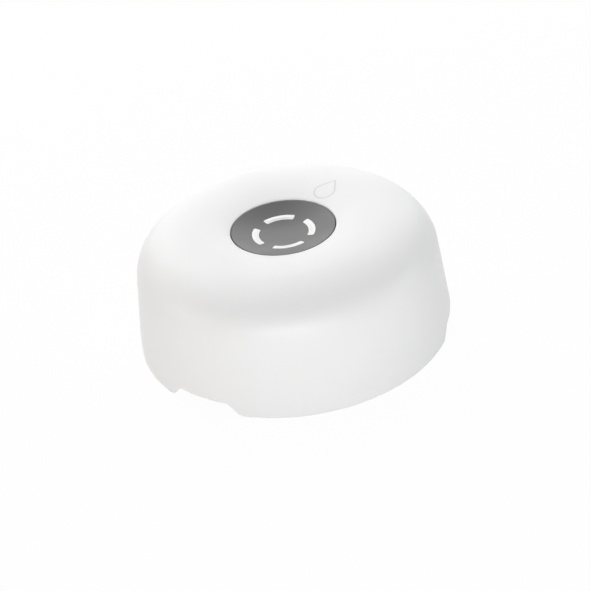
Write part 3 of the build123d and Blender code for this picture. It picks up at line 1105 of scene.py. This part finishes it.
    def keyed(self, rings: list[Ring], angles: np.ndarray) -> list[Ring]:
        """Sinks two slots for the button's keys into the bore of the guide tube.

        Args:
            rings: Rings of the shell, all with the same columns.
            angles: Angles of the columns in degrees.

        Returns:
            The rings with the two slots formed.
        """
        shaped = []
        slack = 0.1
        for ring in rings:
            radius = np.hypot(ring[:, 0], ring[:, 1])
            in_bore = self.guide_inner - slack < radius.mean() < self.key_slot_reach
            if in_bore and ring[0, 2] <= self.pocket_height:
                side = np.abs(radius * np.sin(np.radians(angles)))
                radius = np.where(side < self.key_slot_width / 2, self.key_slot_reach, radius)
                ring = polar_ring(radius, angles, ring[:, 2])
            shaped.append(ring)
        return shaped

    def rib_rings(self, angle: float) -> list[Ring]:
        """Rings of the rib that ties a screw boss to the ceiling and the wall.

        Args:
            angle: Angle of the boss in degrees.

        Returns:
            Upright oblong rings, from the boss outwards.
        """
        shoulder = self.shoulder()
        side_x, side_z = shoulder.side_centre
        turn = math.radians(angle)
        outward = np.array((math.cos(turn), math.sin(turn)))
        across = np.array((-outward[1], outward[0]))
        half, rows = self.rib_width / 2, 6
        rings = []
        for radius in np.linspace(self.boss_circle, self.rib_reach, rows):
            over = side_z + math.sqrt(shoulder.side_radius**2 - (radius - side_x) ** 2)
            top = over - self.wall / 2
            corners = ((-half, self.rib_bottom), (half, self.rib_bottom), (half, top), (-half, top))
            rings.append(np.array([(*(radius * outward + y * across), z) for y, z in corners]))
        return rings

    def columns(self) -> np.ndarray:
        """Angles of the columns, close together at the gaps' sloping ends and the key slots.

        Returns:
            Rising angles in degrees.
        """
        reach, step = 2 * self.key_slot_step, self.key_slot_step
        sides = (-self.key_slot_edge, self.key_slot_edge)
        edges = [middle + side for middle in KEY_ANGLES for side in sides]
        close = [(edge - reach, edge + reach, step) for edge in edges]
        for middle in NOTCH_ANGLES:
            close.append((middle - self.slope_end, middle - self.slope_start, self.slope_step))
            close.append((middle + self.slope_start, middle + self.slope_end, self.slope_step))
        return round_angles(step=3.0, close=close)

    def bayonet(self, middle: float) -> list[list[Ring]]:
        """Ledge that a lug of the base turns onto, and the stop at its end.

        Args:
            middle: Middle angle of the ledge in degrees.

        Returns:
            The rings of the ledge and those of the stop.
        """
        inner, outer, ease = self.ledge_inner, self.skirt_inner + self.ledge_root, self.ledge_rounding
        ledge = rounded_box(inner, outer, self.ledge_bottom, self.ledge_top, ease, steps=3)
        stop = rounded_box(inner, outer, self.stop_bottom, self.stop_top, ease, steps=3)
        end = middle + self.stop_middle
        return [
            sector_rings(ledge, middle, self.ledge_spread, self.ledge_end_rounding),
            sector_rings(stop, end, self.stop_spread, self.stop_end_rounding),
        ]

    def boss_rings(self, angle: float) -> list[Ring]:
        """Rings of a screw boss, from its lower end up into the ceiling.

        Args:
            angle: Angle of the boss in degrees.

        Returns:
            The rings, in their place.
        """
        core, top = PINHOLE / 2, self.height - self.wall - self.boss_sink
        corners = [
            (core, self.boss_bottom, 0.0),
            (self.boss_radius, self.boss_bottom, self.boss_rounding),
            (self.boss_radius, top, 0.0),
            (core, top, 0.0),
        ]
        rings = spun(rounded(corners, steps=3), round_angles(step=15.0))
        return set_round(rings, self.boss_circle, angle)

    def build(self) -> None:
        """Builds the shell with its ledges, stops and bosses as one piece."""
        shape = Shape()
        angles = self.columns()
        section = self.outer_section() + self.well_section() + self.inner_section()
        rings = self.keyed(self.lifted(spun(section, angles), angles), angles)
        shape.add_rings(rings, loop=True)
        for middle in FOOT_ANGLES:
            for bar in self.bayonet(middle):
                shape.add_rings(bar)
        for angle in self.boss_angles:
            shape.add_rings(self.boss_rings(angle))
            shape.add_rings(self.rib_rings(angle))
        piece = shape.piece("shell_upper_housing")
        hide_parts("upper_housing")
        dress(piece, WHITE_ABS, Body.HOUSING)


@dataclass
class DropMark:
    """Outline of a water drop, printed on the crown beside the button.

    flat_share is the part of the line's width that lies flat, and depth is how far the film's
    edges run down into the crown.
    """

    housing: UpperHousing
    middle_angle: float = 87.6
    round_radius: float = 2.4
    round_centre: float = 15.8
    tip: float = 20.1
    line_width: float = 0.3
    flat_share: float = 0.8
    ink_height: float = 0.02
    depth: float = 0.1
    steps: int = 96

    def outline(self) -> np.ndarray:
        """Middle of the printed line, as (across, outwards) points from the housing's axis.

        Returns:
            Points once round the drop: a circle drawn out to a point away from the button.
        """
        reach = self.tip - self.round_centre
        touch = math.acos(self.round_radius / reach)
        turn = np.linspace(math.pi / 2 + touch, math.pi / 2 - touch + 2 * math.pi, self.steps)
        circle = np.stack([self.round_radius * np.cos(turn), self.round_radius * np.sin(turn)], 1)
        share = np.linspace(0, 1, self.steps // 4 + 1)[1:-1, None]
        tip = np.array((0.0, reach))
        up = circle[-1] + (tip - circle[-1]) * share
        down = tip + (circle[0] - tip) * share
        return np.concatenate([circle, up, tip[None], down]) + (0.0, self.round_centre)

    def build(self) -> None:
        """Builds the printed line as a thin film that follows the crown."""
        line = self.outline()
        ahead = np.roll(line, -1, 0) - np.roll(line, 1, 0)
        side = np.stack([ahead[:, 1], -ahead[:, 0]], 1) / np.linalg.norm(ahead, axis=1)[:, None]
        turn = math.radians(self.middle_angle)
        outward = np.array((math.cos(turn), math.sin(turn)))
        across = np.array((outward[1], -outward[0]))
        film = (
            (-1.0, -self.depth),
            (-1.0, 0.0),
            (-self.flat_share, self.ink_height),
            (self.flat_share, self.ink_height),
            (1.0, 0.0),
            (1.0, -self.depth),
        )
        rings = []
        for offset, lift in film:
            flat = line + side * offset * self.line_width / 2
            plan = flat[:, :1] * across + flat[:, 1:] * outward
            height = self.housing.crown_height(np.hypot(plan[:, 0], plan[:, 1])) + lift
            rings.append(raised(plan, height))
        shape = Shape()
        shape.add_rings(rings, loop=True)
        dress(shape.piece("drop_mark"), GREY_INK, Body.HOUSING)


@dataclass
class Button:
    """Dished button cap with the light guide whose four ribs show in its face.

    window_end is the most that a corner of a rib takes of its half width.
    """

    radius: float = 11.8
    edge_height: float = 26.64
    dish_floor: float = 24.8
    rim_rounding: float = 0.15
    skin: float = 1.4
    flange_radius: float = 13.0
    flange_top: float = 24.34
    flange_bottom: float = 23.54
    flange_rounding: float = 0.12
    skirt_inner: float = 10.5
    post_radius: float = 2.0
    post_bottom: float = 21.95
    post_chamfer: float = 0.3
    key_root: float = 0.4
    key_reach: float = 13.8
    key_width: float = 2.0
    key_rounding: float = 0.1
    window_radius: float = 6.4
    window_width: float = 1.6
    window_spread: float = 31.5
    window_corner: float = 0.35
    window_end: float = 0.7
    window_edge: float = 0.08
    window_core: float = 0.05
    window_proud: float = 0.03
    window_angles: tuple[float, ...] = (45.0, 135.0, 225.0, 315.0)
    plate_inner: float = 2.8
    plate_outer: float = 9.25
    plate_bottom: float = 22.35
    plate_top: float = 23.35
    plate_rounding: float = 0.1
    rib_sink: float = 0.2

    def sphere(self) -> float:
        """Radius of the dish."""
        dish = self.edge_height - self.dish_floor
        return (self.radius**2 + dish**2) / (2 * dish)

    def dish_height(self, radius: float, depth: float = 0.0) -> float:
        """Height of the dish at a radius, or of a skin that far below it."""
        return self.dish_floor + self.sphere() - math.sqrt((self.sphere() + depth) ** 2 - radius**2)

    def cap_section(self) -> Section:
        """Section of the cap: dish, eased rim, skirt, retaining flange, underside and post.

        Returns:
            The points from the middle of the dish to the middle of the post's end.
        """
        face_rows, under_rows = 16, 8
        start = self.radius - 3 * self.rim_rounding
        across = np.linspace(PINHOLE, start, face_rows)
        face = [(float(radius), self.dish_height(float(radius))) for radius in across]
        back = np.linspace(self.skirt_inner, self.post_radius, under_rows)
        under = [(float(radius), self.dish_height(float(radius), self.skin)) for radius in back]
        ease = self.flange_rounding
        corners = [
            (*face[-1], 0.0),
            (self.radius, self.edge_height, self.rim_rounding),
            (self.radius, self.flange_top, 0.0),
            (self.flange_radius, self.flange_top, ease),
            (self.flange_radius, self.flange_bottom, ease),
            (self.skirt_inner, self.flange_bottom, ease),
            (*under[0], 0.0),
        ]
        post = [
            (self.post_radius, self.post_bottom + self.post_chamfer),
            (self.post_radius - self.post_chamfer, self.post_bottom),
            (PINHOLE, self.post_bottom),
        ]
        return face[:-1] + rounded(corners, steps=6) + under[1:] + post

    def build_cap(self) -> None:
        """Builds the cap with its two keys."""
        shape = Shape()
        shape.add_rings(spun(self.cap_section(), round_angles(step=3.0)))
        root, ease = self.flange_radius - self.key_root, self.key_rounding
        low, high = self.flange_bottom, self.flange_top
        key = rounded_box(root, self.key_reach, low, high, ease, steps=3)
        spread = math.degrees(self.key_width / 2 / self.flange_radius)
        for middle in KEY_ANGLES:
            shape.add_rings(sector_rings(key, middle, spread, ease))
        piece = shape.piece("cap_button")
        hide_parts("button_cap")
        dress(piece, DARK_ABS, Body.BUTTON)

    def build_light_guide(self) -> None:
        """Builds the plate under the cap and its four curved ribs, level with the dish."""
        shape = Shape()
        low, high, ease = self.plate_bottom, self.plate_top, self.plate_rounding
        plate = rounded_box(self.plate_inner, self.plate_outer, low, high, ease, steps=2)
        shape.add_rings(spun(plate, round_angles(step=4.0)), loop=True)
        for middle in self.window_angles:
            shape.add_rings(self.rib_rings(middle))
        piece = shape.piece("light_guide_ribs")
        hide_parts("light_guide")
        dress(piece, MILKY_PC, Body.BUTTON)

    def rib_rings(self, middle: float) -> list[Ring]:
        """Rings of one rib, from its root in the plate to its eased top, level with the dish.

        Args:
            middle: Middle angle of the rib in degrees.

        Returns:
            Rings in plan, each a curved bar with round ends, at rising heights.
        """
        proud, core = self.window_proud, self.window_width / 2 - self.window_core
        layers = ((0.0, -proud), (proud, proud / 3), (self.window_edge, proud), (core, proud))
        rings = [raised(self.rib_outline(middle, 0.0), self.plate_top - self.rib_sink)]
        for inset, lift in layers:
            plan = self.rib_outline(middle, inset)
            dish = [self.dish_height(math.hypot(x, y)) for x, y in plan]
            rings.append(raised(plan, np.array(dish) + lift))
        return rings

    def rib_outline(self, middle: float, inset: float) -> np.ndarray:
        """Outline in plan of a rib, with rounded corners at its ends.

        Args:
            middle: Middle angle of the rib in degrees.
            inset: How far the outline is drawn in.

        Returns:
            The points once round.
        """
        half = self.window_width / 2 - inset
        corner = min(self.window_corner, half * self.window_end)
        reach = math.radians(self.window_spread) - inset / self.window_radius
        ease = corner / self.window_radius
        side_rows, quarter_rows = 20, 5
        quarter = np.linspace(0, math.pi / 2, quarter_rows)[1:]
        points = []
        for sign in (1, -1):
            side, end = sign * half, sign * (reach - ease)
            along = np.linspace(-end, end, side_rows)
            points += [(self.window_radius + side, angle) for angle in along]
            bends = [
                (sign * corner * (1 - math.cos(turn)), end + sign * ease * math.sin(turn))
                for turn in quarter
            ]
            points += [(self.window_radius + side - inward, angle) for inward, angle in bends]
            bends.reverse()
            points += [(self.window_radius - side + inward, angle) for inward, angle in bends]
        turn = math.radians(middle)
        return np.array([(r * math.cos(turn + a), r * math.sin(turn + a)) for r, a in points])

    def build(self) -> None:
        """Builds the cap and the light guide."""
        self.build_cap()
        self.build_light_guide()


@dataclass
class TwistOffBase:
    """Base cover with its lugs and coin slot, and the three domed probes in it.

    plain_inner and plain_outer are two rings on the flat underside, and lug_slope is the angle
    over which a lug's side rises.
    """

    radius: float = 32.25
    bottom: float = 3.0
    top: float = 4.8
    plain_inner: float = 11.0
    plain_outer: float = 22.0
    edge_chamfer: float = 0.45
    edge_rounding: float = 0.2
    side_rounding: float = 0.1
    lug_radius: float = 33.55
    lug_bottom: float = 3.6
    lug_spread: float = 11.0
    lug_slope: float = 0.35
    lug_corner: float = 0.4
    lug_rounding: float = 0.15
    slot_length: float = 18.0
    slot_width: float = 2.4
    slot_depth: float = 1.2
    slot_core: float = 0.05
    slot_rounding: float = 0.2
    groove_inner: float = 30.3
    groove_outer: float = 32.0
    groove_bottom: float = 4.4
    pad_radius: float = 12.0
    pad_chamfer: float = 0.2
    pad_top: float = 5.3
    probe_circle: float = 26.75
    probe_radius: float = 2.6
    probe_bottom: float = 1.0
    probe_shoulder: float = 2.0
    probe_stem: float = 1.2
    probe_pad_radius: float = 1.9
    probe_top: float = 5.6
    probe_rounding: float = 0.15

    def slot_ring(self, angles: np.ndarray, offset: float, height: float) -> Ring:
        """Ring on the outline of the coin slot, moved outwards by an offset.

        Args:
            angles: Angles of the columns in degrees.
            offset: Distance outside the slot's edge.
            height: Height of the ring.

        Returns:
            The ring's points.
        """
        turn = np.radians(angles)
        across, along = np.abs(np.cos(turn)), np.abs(np.sin(turn))
        radius = self.slot_width / 2 + offset
        reach = (self.slot_length - self.slot_width) / 2
        straight = radius / np.maximum(along, 1e-9)
        bent = reach * across + np.sqrt(np.maximum(radius**2 - (reach * along) ** 2, 0))
        distance = np.where(straight * across <= reach, straight, bent)
        return polar_ring(distance, angles, height)

    def lug_ring(self, angles: np.ndarray, inset: float, height: float) -> Ring:
        """Ring on the outline of the cover with its three lugs.

        Args:
            angles: Angles of the columns in degrees.
            inset: How far the lugs are drawn in.
            height: Height of the ring.

        Returns:
            The ring's points.
        """
        radius = np.full_like(angles, self.radius)
        for middle in FOOT_ANGLES:
            away = np.abs(away_from(angles, middle))
            side = math.degrees(inset / self.radius)
            ramp = (self.lug_spread - side - away) / self.lug_slope + 0.5
            step = (self.lug_radius - inset - self.radius) * soft_step(ramp, self.lug_corner)
            radius = np.maximum(radius, self.radius + step)
        return polar_ring(radius, angles, height)

    def columns(self) -> np.ndarray:
        """Angles of the columns, close together at the slot's ends and the sides of the lugs.

        Returns:
            Rising angles in degrees.
        """
        slot_reach, slot_step = 10.0, 0.8
        lug_reach, lug_step = 0.8, 0.13
        ends = ((middle, (middle - slot_reach) % 360) for middle in (0.0, 180.0))
        close = [(start, middle + slot_reach, slot_step) for middle, start in ends]
        for middle in FOOT_ANGLES:
            for side in (-self.lug_spread, self.lug_spread):
                edge = middle + side
                close.append((edge - lug_reach, edge + lug_reach, lug_step))
        return round_angles(step=2.5, close=close)

    def coin_slot(self, angles: np.ndarray) -> list[Ring]:
        """Rings of the coin slot, from the middle of its floor out to the cover's underside.

        Args:
            angles: Angles of the columns in degrees.

        Returns:
            The rings, with both edges of the slot rounded.
        """
        floor = self.bottom + self.slot_depth
        edge = eased_edge(self.slot_rounding)
        layers = [(self.slot_core - self.slot_width / 2, floor)]
        layers += [(-inset, floor - fall) for inset, fall in edge]
        edge.reverse()
        layers += [(inset, self.bottom + rise) for inset, rise in edge]
        return [self.slot_ring(angles, offset, height) for offset, height in layers]

    def underside(self) -> Section:
        """Section of the cover's flat underside and its chamfered edge, up to the lugs.

        Returns:
            The points from the inside out.
        """
        plain = [(self.plain_inner, self.bottom), (self.plain_outer, self.bottom)]
        corners = [
            (*plain[-1], 0.0),
            (self.radius - self.edge_chamfer, self.bottom, self.edge_rounding),
            (self.radius, self.bottom + self.edge_chamfer, self.side_rounding),
            (self.radius, self.lug_bottom, 0.0),
        ]
        return plain + rounded(corners, steps=3)[1:]

    def lugs(self, angles: np.ndarray) -> list[Ring]:
        """Rings of the lugs, with their lower and upper edges rounded.

        Args:
            angles: Angles of the columns in degrees.

        Returns:
            The rings from the bottom up.
        """
        edge = eased_edge(self.lug_rounding)
        layers = [(inset, self.lug_bottom + rise) for inset, rise in edge]
        edge.reverse()
        layers += [(inset, self.top - fall) for inset, fall in edge]
        return [self.lug_ring(angles, inset, height) for inset, height in layers]

    def build_cover(self) -> None:
        """Builds the cover from the floor of the coin slot, out under it, and over its top."""
        angles = self.columns()
        over = [
            (self.groove_outer, self.top),
            (self.groove_outer, self.groove_bottom),
            (self.groove_inner, self.groove_bottom),
            (self.groove_inner, self.top),
            (self.pad_radius, self.top),
            (self.pad_radius - self.pad_chamfer, self.pad_top),
            (PINHOLE, self.pad_top),
        ]
        rings = self.coin_slot(angles) + spun(self.underside(), angles)
        rings += self.lugs(angles) + spun(over, angles)
        shape = Shape()
        shape.add_rings(rings)
        piece = shape.piece("cover_base")
        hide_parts("base_cover")
        dress(piece, WHITE_ABS, Body.BASE)

    def probe_section(self) -> Section:
        """Section of a probe: domed head below the cover, stem and inner pad.

        Returns:
            The points from the tip of the dome to the middle of the pad's top.
        """
        rise = self.probe_shoulder - self.probe_bottom
        dome = (self.probe_radius**2 + rise**2) / (2 * rise)
        ease = self.probe_rounding
        down = -math.pi / 2
        tip, end = 0.01, math.asin((self.probe_radius - 2 * ease) / dome)
        head = arc((0.0, self.probe_bottom + dome), dome, down + tip, down + end, steps=10)
        corners = [
            (*head[-1], 0.0),
            (self.probe_radius, self.probe_shoulder, 2 * ease),
            (self.probe_radius, self.bottom, 0.0),
            (self.probe_stem, self.bottom, 0.0),
            (self.probe_stem, self.top, 0.0),
            (self.probe_pad_radius, self.top, ease),
            (self.probe_pad_radius, self.probe_top, ease),
            (PINHOLE, self.probe_top, 0.0),
        ]
        return head[:-1] + rounded(corners, steps=4)

    def build_probes(self) -> None:
        """Builds the three probes, one behind each gap in the skirt."""
        rings = spun(self.probe_section(), round_angles(step=7.5))
        shape = Shape()
        for angle in NOTCH_ANGLES:
            shape.add_rings(set_round(rings, self.probe_circle, angle))
        piece = shape.piece("probes_gold")
        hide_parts("water_probes")
        dress(piece, GOLD_PLATE, Body.BASE)

    def build(self) -> None:
        """Builds the cover and the probes."""
        self.build_cover()
        self.build_probes()


@dataclass
class FrameParts:
    """Parts inside the shell that keep their CAD shape and only get their finish."""

    finishes: dict[str, Finish] = field(default_factory=lambda: dict(FRAME_FINISHES))

    def build(self) -> None:
        """Gives each CAD node its material, one material for each finish."""
        made: dict[str, bpy.types.Material] = {}
        for node, finish in self.finishes.items():
            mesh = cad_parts[node].data
            if finish.name not in made:
                made[finish.name] = finish.material()
            mesh.materials.clear()
            mesh.materials.append(made[finish.name])
            log.info("%s: CAD shape, %s", node, finish.name)


# Studio


@dataclass(frozen=True)
class Softbox:
    """Oblong softbox aimed at the middle of the part.

    turn is in degrees round the part from the camera's side towards its right, rise is in degrees
    above the floor, and the radiance is 1 for the white of the photograph's backdrop.
    """

    name: str
    turn: float
    rise: float
    width: float
    height: float
    radiance: float
    colour: str = "#FFFFFF"
    distance: float = 650.0

    def build(self, target: Vector, azimuth: float) -> None:
        """Adds the lamp.

        Args:
            target: Point that it faces, in metres.
            azimuth: Turn of the camera's side from -Y, in degrees.
        """
        around, up = math.radians(azimuth + self.turn - 90), math.radians(self.rise)
        level = Vector((math.cos(around), math.sin(around), 0))
        away = level * math.cos(up) + Vector((0, 0, math.sin(up)))
        lamp = bpy.data.lights.new(self.name, "AREA")
        lamp.shape = "RECTANGLE"
        lamp.size, lamp.size_y = self.width * MM, self.height * MM
        lamp.energy = self.radiance * math.pi * lamp.size * lamp.size_y
        lamp.color = linear(self.colour)[:3]
        made = bpy.data.objects.new(self.name, lamp)
        bpy.context.scene.collection.objects.link(made)
        made.location = target + away * self.distance * MM
        made.rotation_euler = away.to_track_quat("Z", "Y").to_euler()
        made.visible_camera = False


@dataclass
class Studio:
    """Camera at the photograph's angle, pale floor, white backdrop and soft light.

    The camera stands at the distance and angles given from the target, and looks past it by
    aim_right and aim_up in the picture's own directions.
    """

    target_height: float = 14.34
    distance: float = 448.1
    azimuth: float = 39.2
    elevation: float = 32.21
    roll: float = 7.68
    lens: float = 120.0
    sensor: float = 36.0
    aim_right: float = 1.293
    aim_up: float = -5.1
    floor_radius: float = 1500.0
    floor_thickness: float = 1.0
    floor_white: float = 0.97
    ambient: float = 0.04
    softboxes: tuple[Softbox, ...] = (
        Softbox("softbox_far_low", 180.0, 22.0, 900.0, 420.0, 1.3),
        Softbox("softbox_far_high", 180.0, 60.0, 750.0, 750.0, 1.5),
        Softbox("softbox_far_left", -130.0, 40.0, 620.0, 620.0, 1.05),
        Softbox("softbox_far_right", 130.0, 40.0, 520.0, 520.0, 0.45),
        Softbox("strip_near_low", 0.0, 9.0, 700.0, 150.0, 8.3),
        Softbox("strip_left", -80.0, 10.0, 500.0, 170.0, 2.1, "#FFF4EC"),
        Softbox("strip_right", 80.0, 10.0, 500.0, 170.0, 2.3, "#FAFDFE"),
    )

    def target(self) -> Vector:
        """Middle of the part, in metres."""
        return Vector((0, 0, self.target_height * MM))

    def add_camera(self) -> None:
        """Adds the camera and makes it the scene's own."""
        angles = (self.azimuth, self.elevation, self.roll)
        turn, tilt, roll = (math.radians(angle) for angle in angles)
        level, rise = math.cos(tilt), math.sin(tilt)
        backward = Vector((math.sin(turn) * level, -math.cos(turn) * level, rise))
        place = self.target() + backward * self.distance * MM
        sideways = Vector((0, 0, 1)).cross(backward).normalized()
        upright = backward.cross(sideways)
        right = math.cos(roll) * sideways - math.sin(roll) * upright
        up = math.sin(roll) * sideways + math.cos(roll) * upright
        aim = self.target() + (self.aim_right * right + self.aim_up * up) * MM
        backward = (place - aim).normalized()
        right = (right - right.dot(backward) * backward).normalized()
        up = backward.cross(right)
        axes = Matrix((right, up, backward)).transposed().to_4x4()
        camera = bpy.data.cameras.new("photo_camera")
        camera.lens = self.lens
        camera.sensor_width = self.sensor
        camera.clip_start = 0.01
        made = bpy.data.objects.new("photo_camera", camera)
        made.matrix_world = Matrix.Translation(place) @ axes
        bpy.context.scene.collection.objects.link(made)
        bpy.context.scene.camera = made

    def seen_directly(self, tree: Tree) -> Socket:
        """Tells what the camera sees, also through gloss or glass, from light on the part.

        Args:
            tree: Node tree of the world or the floor.

        Returns:
            The socket that gives 1 for what is seen and 0 for light.
        """
        path = add_node(tree, "ShaderNodeLightPath").outputs
        either = {"operation": "MAXIMUM"}
        gloss = {0: path["Is Glossy Ray"], 1: path["Is Transmission Ray"]}
        shiny = add_node(tree, "ShaderNodeMath", either, gloss).outputs["Value"]
        seen = {0: path["Is Camera Ray"], 1: shiny}
        return add_node(tree, "ShaderNodeMath", either, seen).outputs["Value"]

    def add_world(self) -> None:
        """Sets a white backdrop, and a little light from all round."""
        world = bpy.data.worlds.new("white_room")
        tree = empty_tree(world)
        level = {"To Min": self.ambient, "To Max": 1.0}
        strength = add_node(tree, "ShaderNodeMapRange", level, {"Value": self.seen_directly(tree)})
        white = {"Color": linear("#FFFFFF")}
        sources = {"Strength": strength.outputs["Result"]}
        light = add_node(tree, "ShaderNodeBackground", white, sources)
        add_node(tree, "ShaderNodeOutputWorld", links={"Surface": light.outputs["Background"]})
        bpy.context.scene.world = world

    def floor_material(self) -> bpy.types.Material:
        """White floor: a plain matt bounce for the part, near white to the eye, shadow kept.

        Returns:
            The floor's material.
        """
        made = bpy.data.materials.new("white_floor")
        tree = empty_tree(made)
        matt = add_node(tree, "ShaderNodeBsdfDiffuse", {"Color": linear("#F4F4F4")})
        glow = add_node(tree, "ShaderNodeEmission", {"Color": linear("#FFFFFF"), "Strength": 1.0})
        share = {"From Min": 0.0, "From Max": 1.0, "To Min": 0.0, "To Max": self.floor_white}
        factor = add_node(tree, "ShaderNodeMapRange", share, {"Value": self.seen_directly(tree)})
        sources = {0: factor.outputs["Result"], 1: matt.outputs["BSDF"], 2: glow.outputs["Emission"]}
        mixed = add_node(tree, "ShaderNodeMixShader", links=sources)
        add_node(tree, "ShaderNodeOutputMaterial", links={"Surface": mixed.outputs["Shader"]})
        return made

    def add_floor(self) -> None:
        """Adds the round floor under the feet."""
        edge = [(self.floor_radius, -self.floor_thickness), (self.floor_radius, 0.0)]
        shape = Shape()
        shape.add_rings(spun(edge, round_angles(step=7.5)))
        floor = shape.piece("floor")
        floor.data.materials.append(self.floor_material())

    def build(self) -> None:
        """Adds camera, world, floor and lamps, and sets the plain view transform."""
        self.add_camera()
        self.add_world()
        self.add_floor()
        for softbox in self.softboxes:
            softbox.build(self.target(), self.azimuth)
        bpy.context.scene.view_settings.view_transform = "Standard"


def main() -> None:
    """Builds the studio and the pieces in order, and reports each one."""
    logging.basicConfig(level=logging.INFO, format="%(message)s", stream=sys.stdout)
    Studio().build()
    housing = UpperHousing()
    assemblies = (housing, DropMark(housing), Button(), TwistOffBase(), FrameParts())
    for assembly in assemblies:
        assembly.build()


if __name__ == "__main__":
    main()
